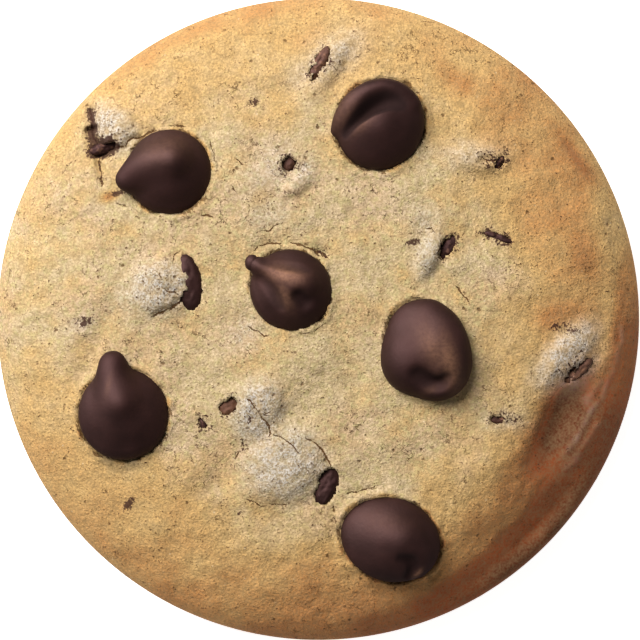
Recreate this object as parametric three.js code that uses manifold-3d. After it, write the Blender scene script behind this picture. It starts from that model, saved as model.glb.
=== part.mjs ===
// A round chocolate chip cookie lying flat, in millimetres, with +Z up and the origin at the
// centre of its flat underside. The dough is one solid: a low dome with a steep, rounded rim,
// raised where chips lie just under the crust. Six whole chips stand proud of the top, each a
// teardrop with its tip slumped to one side, and smaller bits of chocolate show in pits and
// cracks. Each piece of chocolate sits in its own pocket in the dough.
import * as THREE from "three";
import { mergeVertices } from "three/addons/utils/BufferGeometryUtils.js";
import Module from "manifold-3d";

// The dough's main sizes.
const COOKIE_DIAMETER = 75;
const BASE_DIAMETER = 69.5; // the flat underside
const RIM_HEIGHT = 3.8; // the widest line, above the underside
const CROWN_HEIGHT = 11.6; // the dough at its middle
const DOME_FULLNESS = 2.9; // 2 is an ellipse, and more is flatter on top with a steeper shoulder
const POCKET_GAP = 0.3; // between a piece of chocolate and the dough round it
const OPENING_RISE = 2; // how far the opening over a sunken bit is drawn up through the crust

// How fine each surface is: a ball has 20 x (detail + 1)^2 triangles.
const DOUGH_DETAIL = 16;
const CHIP_DETAIL = 4;
const BIT_DETAIL = 1;
const RIM_SHARE = 155; // degrees of the ball that become the top and the rim, of 180
const TIP_CROWDING = 1.25; // above 1 draws a chip's faces together towards its tip

const DOUGH = { color: 0xd9b27c, roughness: 0.9, metalness: 0 };
const CHOCOLATE = { color: 0x3b2420, roughness: 0.45, metalness: 0 };

const wasm = await Module();
wasm.setup();

const radians = THREE.MathUtils.degToRad;
const UP = new THREE.Vector3(0, 0, 1);
const BALL_CORNER = new THREE.Vector3(-1, (1 + Math.sqrt(5)) / 2, 0).normalize(); // of an icosahedron

// Where (x, y) lies along and across a line through (at.x, at.y) that runs at at.turn degrees.
function alongAcross(x, y, at) {
  const turn = radians(at.turn ?? 0);
  const dx = x - at.x;
  const dy = y - at.y;
  return {
    along: dx * Math.cos(turn) + dy * Math.sin(turn),
    across: dy * Math.cos(turn) - dx * Math.sin(turn),
  };
}

// The relief of the top: each entry is an oval swell of the crust, or a dip if its height is
// below zero. Half sizes are along and across the turn. A steep one has a flat top and a firm
// edge, as the crust has where a chip lies right under it.
const SWELLS = [
  { name: "over_left_chip", x: -18.1, y: 3.7, along: 3.9, across: 3.0, turn: 25, height: 1.2, steep: true },
  { name: "over_lower_chip", x: -3.7, y: -17, along: 5.2, across: 3.6, turn: 35, height: 1.2, steep: true },
  { name: "pale_mound", x: -7.0, y: -10.4, along: 3.4, across: 2.6, turn: 60, height: 1.0, steep: true },
  { name: "over_crack_chip", x: -23.9, y: 22.6, along: 3, across: 2.4, turn: -50, height: 1, steep: true },
  { name: "over_top_chip", x: 1.0, y: 29.3, along: 3.6, across: 1.5, turn: 58, height: 0.8, steep: true },
  { name: "right_ridge", x: 12.9, y: 7.6, along: 2.8, across: 1.2, turn: 68, height: 0.9, steep: true },
  { name: "over_far_chip", x: 18.6, y: 18.6, along: 3.2, across: 1.8, turn: -5, height: 0.8, steep: true },
  { name: "over_rim_chip", x: 29.2, y: -4.0, along: 3.6, across: 2.0, turn: 48, height: 0.9, steep: true },
  { name: "pit_lip", x: -2.3, y: 15.6, along: 2.3, across: 0.9, turn: 35, height: 0.6, steep: true },
  { name: "middle_swell", x: -2.5, y: -4.0, along: 8.0, across: 4.5, turn: 40, height: 0.7 },
  { name: "upper_swell", x: -4.5, y: 12.5, along: 7.0, across: 5.0, turn: -20, height: 0.5 },
  { name: "left_swell", x: -27.0, y: 3.0, along: 7.0, across: 5.0, turn: 80, height: 0.5 },
  { name: "lower_right_swell", x: 19.0, y: -19.0, along: 8.0, across: 5.0, turn: 35, height: 0.7 },
  { name: "right_swell", x: 31.5, y: 7.0, along: 6.0, across: 4.0, turn: 80, height: 0.5 },
  { name: "rim_swell", x: 32.2, y: -13.5, along: 4.5, across: 2.2, turn: 60, height: 0.8 },
  { name: "shaded_dip", x: 27.3, y: -13.0, along: 5.5, across: 2.6, turn: 58, height: -1.6 },
  { name: "lower_right_fall", x: 25.5, y: -25.0, along: 12.0, across: 6.0, turn: 45, height: -1.5 },
  { name: "left_fold", x: -26.0, y: -2.6, along: 4.5, across: 1.3, turn: 62, height: -0.4 },
  { name: "mound_foot", x: -10.6, y: -16.5, along: 5.0, across: 1.6, turn: 62, height: -0.5 },
];

// The six whole chips. Length and width are the body's, seen from above, and turn is the way
// its length lies. Lift is how far the body's middle stands above the dough. The tip points
// at tipTurn degrees, tipRise above level, and reaches tipReach past the body; tipWidth and
// tipHeight are the half angles of its root, across and up. Marks are the folds and hollows
// on the upper side, from the chip's middle, in the form of the dough's swells.
const CHIPS = [
  { name: "chip_top", x: 7.2, y: 22.6, length: 10.9, width: 10.3, turn: 60, height: 8.0, lift: 0.3,
    tipTurn: 193, tipRise: 8, tipReach: 0.9, tipWidth: 15, tipHeight: 22,
    marks: [
      { name: "fold", x: -1.6, y: 2.2, along: 3.0, across: 1.0, turn: 42, height: -1.3, steep: true },
      { name: "flap", x: -3.7, y: 2.9, along: 2.6, across: 1.1, turn: 55, height: 0.5 },
    ] },
  { name: "chip_upper_left", x: -17.3, y: 17.0, length: 10.0, width: 9.7, turn: 15, height: 7.4, lift: 0.1,
    tipTurn: 199, tipRise: 10, tipReach: 1.7, tipWidth: 19, tipHeight: 30,
    marks: [
      { name: "crest", x: -2.4, y: -0.3, along: 2.8, across: 1.0, turn: 35, height: 0.6 },
      { name: "under_crest", x: -1.6, y: -2.6, along: 2.6, across: 1.1, turn: 12, height: -0.6 },
    ] },
  { name: "chip_centre", x: -3.2, y: 3.3, length: 9.4, width: 8.9, turn: -40, height: 6.8, lift: 0.1,
    tipTurn: 141, tipRise: 22, tipReach: 1.7, tipWidth: 9, tipHeight: 10,
    marks: [
      { name: "smear", x: -0.8, y: 1.8, along: 2.6, across: 0.8, turn: -14, height: 0.5, steep: true },
      { name: "lower_smear", x: -0.7, y: -0.8, along: 2.0, across: 0.7, turn: -68, height: 0.3 },
      { name: "upper_face", x: 0.6, y: 3.1, along: 2.4, across: 0.7, turn: -20, height: -0.3 },
    ] },
  { name: "chip_right", x: 12.4, y: -3.4, length: 11.6, width: 10.2, turn: 112, height: 7.6, lift: 0.3,
    tipTurn: 278, tipRise: 12, tipReach: 0.4, tipWidth: 20, tipHeight: 22,
    marks: [
      { name: "crest", x: 2.8, y: -0.2, along: 3.6, across: 1.5, turn: 102, height: 0.6 },
      { name: "curl_hollow", x: 0.3, y: -3.3, along: 1.7, across: 0.9, turn: 25, height: -1.1 },
      { name: "slack_side", x: -2.4, y: -2.4, along: 2.6, across: 1.8, turn: 45, height: -0.5 },
    ] },
  { name: "chip_lower_left", x: -22.6, y: -11.1, length: 10.5, width: 10.4, turn: 100, height: 8.0, lift: 0.5,
    tipTurn: 99, tipRise: 12, tipReach: 2.1, tipWidth: 17, tipHeight: 26,
    marks: [
      { name: "crest", x: -0.9, y: 3.0, along: 2.8, across: 1.0, turn: 97, height: 0.4 },
    ] },
  { name: "chip_bottom", x: 8.4, y: -25.6, length: 11.8, width: 9.5, turn: -18, height: 7.6, lift: 0.5,
    tipTurn: 310, tipRise: 6, tipReach: 0.3, tipWidth: 15, tipHeight: 20,
    marks: [
      { name: "curl_hollow", x: 3.5, y: -2.6, along: 1.1, across: 0.8, turn: 60, height: -0.6 },
      { name: "broad_face", x: -1.0, y: 1.4, along: 3.6, across: 2.2, turn: -10, height: 0.2 },
    ] },
];

// Chips and shards that the crust nearly covers. Sizes are whole, and proud is how far the
// top stands above the dough round it, below zero in a pit.
const BITS = [
  { name: "sunk_chip_left", x: -15.1, y: 4.2, length: 7.0, width: 3.4, height: 4.4, turn: 98, proud: -0.1 },
  { name: "sunk_chip_lower", x: 1.0, y: -19.4, length: 5.0, width: 2.5, height: 4.0, turn: 68, proud: 0.2 },
  { name: "sunk_chip_right", x: 15.1, y: 8.3, length: 3.3, width: 1.6, height: 3.0, turn: 58, proud: 0.1 },
  { name: "sunk_chip_top", x: 0.1, y: 29.6, length: 4.8, width: 1.5, height: 3.0, turn: 62, proud: 0.1 },
  { name: "sunk_chip_rim", x: 30.3, y: -6.0, length: 4.8, width: 2.0, height: 3.0, turn: 42, proud: -0.1 },
  { name: "sunk_chip_far", x: 20.9, y: 18.2, length: 2.6, width: 1.2, height: 2.6, turn: 55, proud: 0.1 },
  { name: "chip_in_pit", x: -3.4, y: 18.0, length: 1.9, width: 1.6, height: 2.4, turn: 70, proud: -0.5 },
  { name: "chip_in_crack", x: -25.0, y: 19.9, length: 3.6, width: 1.5, height: 2.6, turn: 20, proud: -0.3 },
  { name: "chip_in_hollow", x: -10.4, y: -10.1, length: 2.6, width: 1.9, height: 2.4, turn: 35, proud: -0.4 },
  { name: "shard_right", x: 20.8, y: 9.5, length: 3.9, width: 0.9, height: 2.0, turn: -20, proud: 0.2 },
  { name: "shard_lower_right", x: 21.2, y: -11.6, length: 2.4, width: 1.1, height: 2.0, turn: 5, proud: 0.1 },
  { name: "shard_left", x: -13.4, y: -12.2, length: 1.9, width: 1.0, height: 1.8, turn: -58, proud: 0.1 },
];

// A closed ball of unit radius with shared vertices, ready to be shaped.
function unitBall(detail) {
  const ball = new THREE.IcosahedronGeometry(1, detail);
  ball.deleteAttribute("normal");
  ball.deleteAttribute("uv");
  return mergeVertices(ball, 1e-5);
}

// Moves every vertex of a unit ball to where place(direction) says.
function shapedBall(detail, place) {
  const ball = unitBall(detail);
  const position = ball.getAttribute("position");
  const direction = new THREE.Vector3();
  for (let i = 0; i < position.count; i++) {
    direction.fromBufferAttribute(position, i).normalize();
    const at = place(direction);
    position.setXYZ(i, at.x, at.y, at.z);
  }
  return ball;
}

// The height that a list of swells adds at (x, y).
function swellHeight(swells, x, y) {
  let height = 0;
  for (const swell of swells) {
    const { along, across } = alongAcross(x, y, swell);
    const spread = (along / swell.along) ** 2 + (across / swell.across) ** 2;
    height += swell.height * Math.exp(swell.steep ? -(spread ** 2) : -spread);
  }
  return height;
}

// A slow unevenness of the crust, a few tenths of a millimetre deep.
function unevenness(x, y) {
  const slow = Math.sin(0.31 * x + 1.3) * Math.cos(0.27 * y - 0.6);
  const quick = Math.sin(0.73 * x - 0.42 * y + 2.1) * Math.cos(0.61 * y + 0.35 * x);
  return 0.16 * slow + 0.1 * quick;
}

// The relief of the top, which fades out towards the rim.
function relief(x, y) {
  const outward = Math.hypot(x, y) / (COOKIE_DIAMETER / 2);
  const fade = 1 - THREE.MathUtils.smoothstep(outward, 0.93, 1);
  return (swellHeight(SWELLS, x, y) + unevenness(x, y)) * fade;
}

// The dough's outline in section, from the crown out over the shoulder and round the rim to
// the edge of the flat underside, in even steps.
function doughSection(steps) {
  const points = [];
  const dome = CROWN_HEIGHT - RIM_HEIGHT;
  const fine = 400;
  for (let i = 0; i <= fine; i++) {
    const turn = (i / fine) * (Math.PI / 2);
    const out = (COOKIE_DIAMETER / 2) * Math.sin(turn) ** (2 / DOME_FULLNESS);
    points.push(new THREE.Vector2(out, RIM_HEIGHT + dome * Math.cos(turn)));
  }
  const tuck = (COOKIE_DIAMETER - BASE_DIAMETER) / 2;
  for (let i = 1; i <= fine / 4; i++) {
    const turn = (i / (fine / 4)) * (Math.PI / 2);
    const out = BASE_DIAMETER / 2 + tuck * Math.cos(turn);
    points.push(new THREE.Vector2(out, RIM_HEIGHT * (1 - Math.sin(turn))));
  }
  const path = new THREE.CurvePath();
  points.slice(1).forEach((end, i) => path.add(new THREE.LineCurve(points[i], end)));
  return path.getSpacedPoints(steps);
}

// The point of the section at a share of its length, 0 at the crown and 1 at the underside.
const SECTION = doughSection(600);
function sectionPoint(share) {
  const place = THREE.MathUtils.clamp(share, 0, 1) * (SECTION.length - 1);
  const before = Math.min(Math.floor(place), SECTION.length - 2);
  return SECTION[before].clone().lerp(SECTION[before + 1], place - before);
}

// The height of the crust at (x, y), before the pockets are cut.
function crustHeight(x, y) {
  const out = Math.hypot(x, y);
  const after = SECTION.findIndex((point) => point.x > out);
  const [near, far] = [SECTION[after - 1], SECTION[after]];
  return THREE.MathUtils.mapLinear(out, near.x, far.x, near.y, far.y) + relief(x, y);
}

// The dough before the pockets are cut: a ball whose upper part is laid over the dome and the
// rim, and whose lower part becomes the flat underside.
function doughBody() {
  const edge = Math.sin(radians(RIM_SHARE / 2));
  const baseEdge = Math.sin(radians((180 - RIM_SHARE) / 2));
  return shapedBall(DOUGH_DETAIL, (direction) => {
    const down = Math.acos(THREE.MathUtils.clamp(direction.z, -1, 1));
    const turn = Math.atan2(direction.y, direction.x);
    const share = Math.sin(down / 2) / edge;
    if (share >= 1) {
      const out = (BASE_DIAMETER / 2) * (Math.sin((Math.PI - down) / 2) / baseEdge);
      return new THREE.Vector3(out * Math.cos(turn), out * Math.sin(turn), 0);
    }
    const at = sectionPoint(share);
    const place = new THREE.Vector3(at.x * Math.cos(turn), at.x * Math.sin(turn), at.y);
    if (at.y > RIM_HEIGHT) place.z += relief(place.x, place.y);
    return place;
  });
}

// The smaller angle between two bearings, in degrees.
function bearingBetween(a, b) {
  return Math.abs(((a - b + 540) % 360) - 180);
}

// A unit direction on a ball whose faces are drawn together towards the chip's tip.
function towardsTip(direction, tip) {
  const away = direction.angleTo(tip);
  if (away < 1e-6 || away > Math.PI - 1e-6) return direction.clone();
  const axis = new THREE.Vector3().crossVectors(tip, direction).normalize();
  const drawn = Math.PI * (away / Math.PI) ** TIP_CROWDING;
  return tip.clone().applyAxisAngle(axis, drawn);
}

// A whole chip about its own middle, grown all over by gap: an oval body with a lobe that is
// its slumped tip.
function chipShape(chip, gap) {
  const half = new THREE.Vector3(chip.length, chip.width, chip.height).multiplyScalar(0.5);
  const tip = new THREE.Vector3(Math.cos(radians(chip.tipRise)), 0, Math.sin(radians(chip.tipRise)));
  tip.applyAxisAngle(UP, radians(chip.tipTurn));
  const cornerToTip = new THREE.Quaternion().setFromUnitVectors(BALL_CORNER, tip);
  return shapedBall(CHIP_DETAIL, (ballDirection) => {
    const direction = towardsTip(ballDirection.clone().applyQuaternion(cornerToTip), tip);
    const bearing = THREE.MathUtils.radToDeg(Math.atan2(direction.y, direction.x));
    const rise = THREE.MathUtils.radToDeg(Math.asin(THREE.MathUtils.clamp(direction.z, -1, 1)));
    const own = direction.clone().applyAxisAngle(UP, -radians(chip.turn));
    const body = 1 / Math.hypot(own.x / half.x, own.y / half.y, own.z / half.z);
    const aside = (bearingBetween(bearing, chip.tipTurn) * Math.cos(radians(rise))) / chip.tipWidth;
    const above = (rise - chip.tipRise) / chip.tipHeight;
    const lobe = chip.tipReach * Math.exp(-((aside ** 2 + above ** 2) ** 2));
    const place = direction.clone().multiplyScalar(body + lobe + gap);
    if (direction.z > 0) place.z += swellHeight(chip.marks, place.x, place.y) * Math.sqrt(direction.z);
    return place;
  });
}

// Where a chip's middle is.
function chipMiddle(chip) {
  return new THREE.Vector3(chip.x, chip.y, crustHeight(chip.x, chip.y) + chip.lift);
}

// A bit of chocolate about its own middle, lying along X and grown all over by gap. The top of
// its opening is drawn up through the crust, so that the bit can be seen.
function bitShape(bit, gap, drawnUp) {
  return shapedBall(BIT_DETAIL, (direction) => {
    const up = direction.z * (bit.height / 2 + gap) + Math.max(direction.z, 0) * drawnUp;
    return new THREE.Vector3(direction.x * (bit.length / 2 + gap), direction.y * (bit.width / 2 + gap), up);
  });
}

// Where a bit's middle is.
function bitMiddle(bit) {
  return new THREE.Vector3(bit.x, bit.y, crustHeight(bit.x, bit.y) + bit.proud - bit.height / 2);
}

// A closed mesh, where its position and rotation put it, as a solid that can be cut.
function toSolid(mesh) {
  mesh.updateMatrix();
  const geometry = mesh.geometry.clone().applyMatrix4(mesh.matrix);
  const shape = new wasm.Mesh({
    numProp: 3,
    vertProperties: new Float32Array(geometry.getAttribute("position").array),
    triVerts: new Uint32Array(geometry.index.array),
  });
  return new wasm.Manifold(shape);
}

// A solid as a geometry again.
function toGeometry(solid) {
  const shape = solid.getMesh();
  const geometry = new THREE.BufferGeometry();
  geometry.setAttribute("position", new THREE.BufferAttribute(shape.vertProperties, 3));
  geometry.setIndex(new THREE.BufferAttribute(shape.triVerts, 1));
  return geometry;
}

// A named mesh with its own material.
function piece(name, geometry, finish) {
  geometry.computeVertexNormals();
  const mesh = new THREE.Mesh(geometry, new THREE.MeshStandardMaterial(finish));
  mesh.name = name;
  return mesh;
}

// A whole chip where it lies, grown by gap when it is the shape of its pocket.
function chipPiece(chip, gap = 0) {
  const mesh = piece(chip.name, chipShape(chip, gap), CHOCOLATE);
  mesh.position.copy(chipMiddle(chip));
  return mesh;
}

// A bit of chocolate where it lies, grown by gap and drawn up when it is its pocket's shape.
function bitPiece(bit, gap = 0, drawnUp = 0) {
  const mesh = piece(bit.name, bitShape(bit, gap, drawnUp), CHOCOLATE);
  mesh.position.copy(bitMiddle(bit));
  mesh.rotation.z = radians(bit.turn);
  return mesh;
}

// The dough with a pocket cut round every piece of chocolate.
function doughPiece() {
  const pockets = [
    ...CHIPS.map((chip) => chipPiece(chip, POCKET_GAP)),
    ...BITS.map((bit) => bitPiece(bit, POCKET_GAP, OPENING_RISE)),
  ];
  let dough = toSolid(piece("uncut_dough", doughBody(), DOUGH));
  for (const pocket of pockets) dough = dough.subtract(toSolid(pocket));
  const [largest] = dough.decompose().sort((a, b) => b.volume() - a.volume());
  return piece("cookie_dough", toGeometry(largest), DOUGH);
}

const wholeChips = new THREE.Group();
wholeChips.add(...CHIPS.map((chip) => chipPiece(chip)));

const sunkenBits = new THREE.Group();
sunkenBits.add(...BITS.map((bit) => bitPiece(bit)));

const cookie = new THREE.Group();
cookie.add(doughPiece(), wholeChips, sunkenBits);

export default cookie;
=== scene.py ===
"""A round chocolate chip cookie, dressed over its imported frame.

The dough is one sculpted piece with its underside, its sockets and its cracks. Six whole chips
and twelve smaller bits of chocolate sit in it, each a piece of its own. Sizes and places are in
millimetres, with +Z up and the origin at the centre of the underside, and a mesh is made in
metres only when its vertices are written.
"""

import logging
import math
from dataclasses import dataclass
from enum import Enum

import bpy
import numpy as np
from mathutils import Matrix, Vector, noise


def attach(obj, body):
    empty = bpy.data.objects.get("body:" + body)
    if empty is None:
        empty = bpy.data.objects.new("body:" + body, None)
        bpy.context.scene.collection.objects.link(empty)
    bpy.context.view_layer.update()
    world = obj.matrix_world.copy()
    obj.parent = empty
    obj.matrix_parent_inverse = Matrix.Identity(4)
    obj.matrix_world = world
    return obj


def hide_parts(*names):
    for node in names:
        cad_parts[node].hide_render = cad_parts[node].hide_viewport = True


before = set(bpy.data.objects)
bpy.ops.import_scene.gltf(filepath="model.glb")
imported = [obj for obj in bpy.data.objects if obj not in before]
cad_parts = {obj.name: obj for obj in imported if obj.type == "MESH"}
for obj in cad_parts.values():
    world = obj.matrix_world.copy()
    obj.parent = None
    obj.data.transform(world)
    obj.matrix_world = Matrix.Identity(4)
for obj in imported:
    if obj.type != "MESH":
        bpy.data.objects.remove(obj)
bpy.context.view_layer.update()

LOG = logging.getLogger("cookie")
MM = 0.001
ROOT = "root"

Array = np.ndarray
Socket = bpy.types.NodeSocket
Colour = tuple[float, float, float]

# Keeps a share above zero where something is divided by it.
TINY = 1e-9
# The brownest that the crust is painted, where 1 is deep brown and more is burnt: painted shade
# on the lower right wall and its dip.
MOST_BROWN = 1.4
# The distance from a crack that is kept on vertices that are near none, in millimetres.
NO_CRACK = 1.5
# Half of the step between the rings of the dough's flat mesh, which tells them apart.
HALF_RING = 0.5


class Slot(Enum):
    """The record's material slots."""

    DOUGH = "baked_dough"
    CHOCOLATE = "chocolate"


class Paint(Enum):
    """Values that are kept on a piece's vertices for its material."""

    BROWNING = "browning"
    DUST = "dust"
    STAIN = "stain"
    # Painted shade in grooves, tears and deep openings, with the dark specks of crumbly places.
    CREVICE = "crevice"
    BLOOM = "bloom_and_highlight"
    CRACK_OFFSET = "crack_offset"
    CRACK_PRESENCE = "crack_presence"


def smoothstep(value: Array, low: float, high: float) -> Array:
    """Rises smoothly from 0 at low to 1 at high.

    Args:
        value: What is compared with the two limits.
        low: Where the rise starts.
        high: Where the rise ends.

    Returns:
        The share of the rise, from 0 to 1.
    """
    share = np.clip((value - low) / (high - low), 0.0, 1.0)
    return share * share * (3.0 - 2.0 * share)


def turned(x: Array, y: Array, degrees: float) -> tuple[Array, Array]:
    """Places as they lie to a line through the origin.

    Args:
        x: Places along X.
        y: Places along Y.
        degrees: The way that the line runs.

    Returns:
        How far along the line and how far to its left each place is.
    """
    turn = math.radians(degrees)
    return x * math.cos(turn) + y * math.sin(turn), y * math.cos(turn) - x * math.sin(turn)


def noise_at(points: Array, size: float, shift: float = 0.0, octaves: int = 1) -> Array:
    """Smooth noise at some points.

    Args:
        points: One row of x, y and z for each point, in millimetres.
        size: How wide one bump of the noise is, in millimetres.
        shift: Moves the noise, so that two uses of one size differ.
        octaves: How many ever finer layers are added.

    Returns:
        One value for each point, from about -1 to 1.
    """
    places = (points / size + shift).tolist()
    return np.array([noise.fractal(Vector(place), 1.0, 2.0, octaves) for place in places])


def write_vertices(piece: bpy.types.Object, points: Array) -> None:
    """Puts a piece's vertices at points that are given in millimetres."""
    piece.data.vertices.foreach_set("co", (points * MM).astype(np.float32).ravel())
    piece.data.update()


def read_vertices(piece: bpy.types.Object) -> Array:
    """Reads a piece's vertices.

    Args:
        piece: The piece, in object mode.

    Returns:
        One row of x, y and z for each vertex, in the units that they were made in.
    """
    flat = np.empty(len(piece.data.vertices) * 3, dtype=np.float32)
    piece.data.vertices.foreach_get("co", flat)
    return flat.reshape(-1, 3).astype(np.float64)


def write_paint(piece: bpy.types.Object, paint: Paint, values: Array) -> None:
    """Keeps one value for each vertex on a piece, for its material to read."""
    layer = piece.data.attributes.new(paint.value, "FLOAT", "POINT")
    layer.data.foreach_set("value", values.astype(np.float32))


def deselect_all() -> None:
    """Leaves nothing selected, as the loaded frame's nodes are."""
    bpy.ops.object.select_all(action="DESELECT")


def select_vertices(piece: bpy.types.Object, chosen: Array) -> None:
    """Selects some vertices of the piece in edit mode, and nothing else.

    Args:
        piece: The piece, in edit mode.
        chosen: True for each vertex to select.
    """
    bpy.ops.mesh.select_mode(type="VERT")
    bpy.ops.mesh.select_all(action="DESELECT")
    bpy.ops.object.mode_set(mode="OBJECT")
    piece.data.vertices.foreach_set("select", chosen)
    bpy.ops.object.mode_set(mode="EDIT")


@dataclass(frozen=True)
class Swell:
    """An oval swell of a surface, or a dip where its height is below zero.

    The half sizes are along and across a line that runs at turn degrees. A steep one has a flat
    top and a firm edge.
    """

    name: str
    x: float
    y: float
    along: float
    across: float
    turn: float
    height: float
    steep: bool = False

    def amount(self, x: Array, y: Array) -> Array:
        """How much of the swell each place has, from 0 to 1.

        Args:
            x: Places along X, in millimetres.
            y: Places along Y, in millimetres.

        Returns:
            One value for each place.
        """
        along, across = turned(x - self.x, y - self.y, self.turn)
        spread = (along / self.along) ** 2 + (across / self.across) ** 2
        return np.exp(-(spread**2) if self.steep else -spread)

    def height_at(self, x: Array, y: Array) -> Array:
        """The height in millimetres that the swell adds at each place."""
        return self.height * self.amount(x, y)


@dataclass(frozen=True)
class Trail:
    """A line on the crust that follows a short route of straight stretches."""

    name: str
    route: tuple[tuple[float, float], ...]
    width: float

    def offset(self, x: Array, y: Array) -> tuple[Array, Array]:
        """How places in plan lie to the line.

        Args:
            x: Places along X, in millimetres.
            y: Places along Y, in millimetres.

        Returns:
            How far from the line each place is, below zero on its right, and how far it is
            along the line from the nearer end, 0 past the ends. Both are in millimetres.
        """
        nearest = np.full(x.shape, np.inf)
        along = np.zeros(x.shape)
        gone = 0.0
        for (from_x, from_y), (to_x, to_y) in zip(self.route, self.route[1:]):
            run_x = to_x - from_x
            run_y = to_y - from_y
            length = math.hypot(run_x, run_y)
            share = ((x - from_x) * run_x + (y - from_y) * run_y) / length**2
            share = np.clip(share, 0.0, 1.0)
            away = np.hypot(x - from_x - share * run_x, y - from_y - share * run_y)
            side = np.where(run_x * (y - from_y) - run_y * (x - from_x) < 0.0, -1.0, 1.0)
            closer = away < np.abs(nearest)
            nearest = np.where(closer, side * away, nearest)
            along = np.where(closer, gone + share * length, along)
            gone += length
        return nearest, np.minimum(along, gone - along)


@dataclass(frozen=True)
class Crack(Trail):
    """A ragged crack.

    Broken is how much of it stays shut, and chocolate how dark the chip under it stains it.
    """

    depth: float = 0.3
    broken: float = 0.0
    chocolate: float = 0.0


@dataclass(frozen=True)
class Fold(Trail):
    """A raised line in the crust, paler along its top."""

    height: float = 0.2
    dust: float = 0.5


# Where the crust stands above its plain dome or dips below it. All places are in millimetres
# from the middle of the cookie, as the photo shows them.
SWELLS = (
    Swell("over_left_chip", -18.1, 3.7, 3.9, 3.0, 25, 1.2, steep=True),
    Swell("over_lower_chip", -3.7, -17.0, 5.2, 3.6, 35, 1.2, steep=True),
    Swell("pale_mound", -7.0, -10.4, 3.4, 2.6, 60, 1.0, steep=True),
    Swell("over_crack_chip", -23.9, 22.6, 3.0, 2.4, -50, 1.0, steep=True),
    Swell("over_top_chip", 1.0, 29.3, 3.6, 1.5, 58, 0.8, steep=True),
    Swell("right_ridge", 12.9, 7.6, 2.8, 1.2, 68, 0.9, steep=True),
    Swell("over_far_chip", 18.6, 18.6, 3.2, 1.8, -5, 0.8, steep=True),
    Swell("over_rim_chip", 29.2, -4.0, 3.6, 2.0, 48, 0.9, steep=True),
    Swell("pit_lip", -2.3, 15.6, 2.3, 0.9, 35, 0.6, steep=True),
    Swell("middle_swell", -2.5, -4.0, 8.0, 4.5, 40, 0.7),
    Swell("upper_swell", -4.5, 12.5, 7.0, 5.0, -20, 0.5),
    Swell("left_swell", -27.0, 3.0, 7.0, 5.0, 80, 0.5),
    Swell("lower_right_swell", 19.0, -19.0, 8.0, 5.0, 35, 0.7),
    Swell("right_swell", 31.5, 7.0, 6.0, 4.0, 80, 0.5),
    Swell("rim_swell", 32.2, -13.5, 4.5, 2.2, 60, 0.8),
    Swell("shaded_dip", 27.3, -13.0, 5.5, 2.6, 58, -1.6),
    Swell("lower_right_fall", 25.5, -25.0, 12.0, 6.0, 45, -1.5),
    Swell("left_fold", -26.0, -2.6, 4.5, 1.3, 62, -0.4),
    Swell("mound_foot", -10.6, -16.5, 5.0, 1.6, 62, -0.5),
)

# Where the crust is dusty and pale, as it is over buried chips. Height is how strong it is.
DUSTY_PLACES = (
    Swell("over_left_chip", -18.3, 3.6, 3.6, 3.2, 20, 1.0, steep=True),
    Swell("left_of_it", -21.5, 2.4, 3.4, 2.2, 20, 0.45),
    Swell("over_lower_chip", -3.9, -16.8, 4.8, 4.0, 20, 0.95, steep=True),
    Swell("pale_mound", -6.9, -10.6, 3.8, 2.9, 75, 1.0, steep=True),
    Swell("below_centre_chip", -8.6, -1.6, 2.4, 1.8, 60, 0.6),
    Swell("over_crack_chip", -24.0, 22.2, 3.4, 2.2, -50, 0.9, steep=True),
    Swell("over_top_chip", 2.6, 31.0, 3.4, 2.0, 40, 0.7),
    Swell("left_of_top_chip", -1.8, 28.4, 2.2, 1.6, 60, 0.5),
    Swell("right_ridge", 12.9, 7.8, 3.0, 1.5, 72, 0.75, steep=True),
    Swell("above_right_ridge", 12.6, 11.0, 2.4, 1.8, 90, 0.5),
    Swell("over_far_chip", 17.6, 19.2, 3.6, 1.5, 0, 0.6),
    Swell("over_rim_chip", 28.9, -4.2, 4.9, 2.4, 48, 0.95, steep=True),
    Swell("round_rim_chip", 30.6, -5.8, 2.8, 1.3, 45, 0.6),
    Swell("round_shard", 21.9, -11.9, 2.4, 1.1, 0, 0.5),
    Swell("round_top_chip", 0.1, 29.6, 3.6, 2.0, 62, 0.6),
    Swell("near_pit", -5.4, 17.4, 4.0, 3.2, 10, 0.45),
    Swell("pit_lip", -1.7, 16.8, 2.2, 1.0, 60, 0.7),
    Swell("pinkish_mound", -5.6, 12.2, 3.4, 2.6, 20, 0.4),
    Swell("left_spot", -27.4, -0.6, 1.8, 0.9, 20, 0.5),
)
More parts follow.
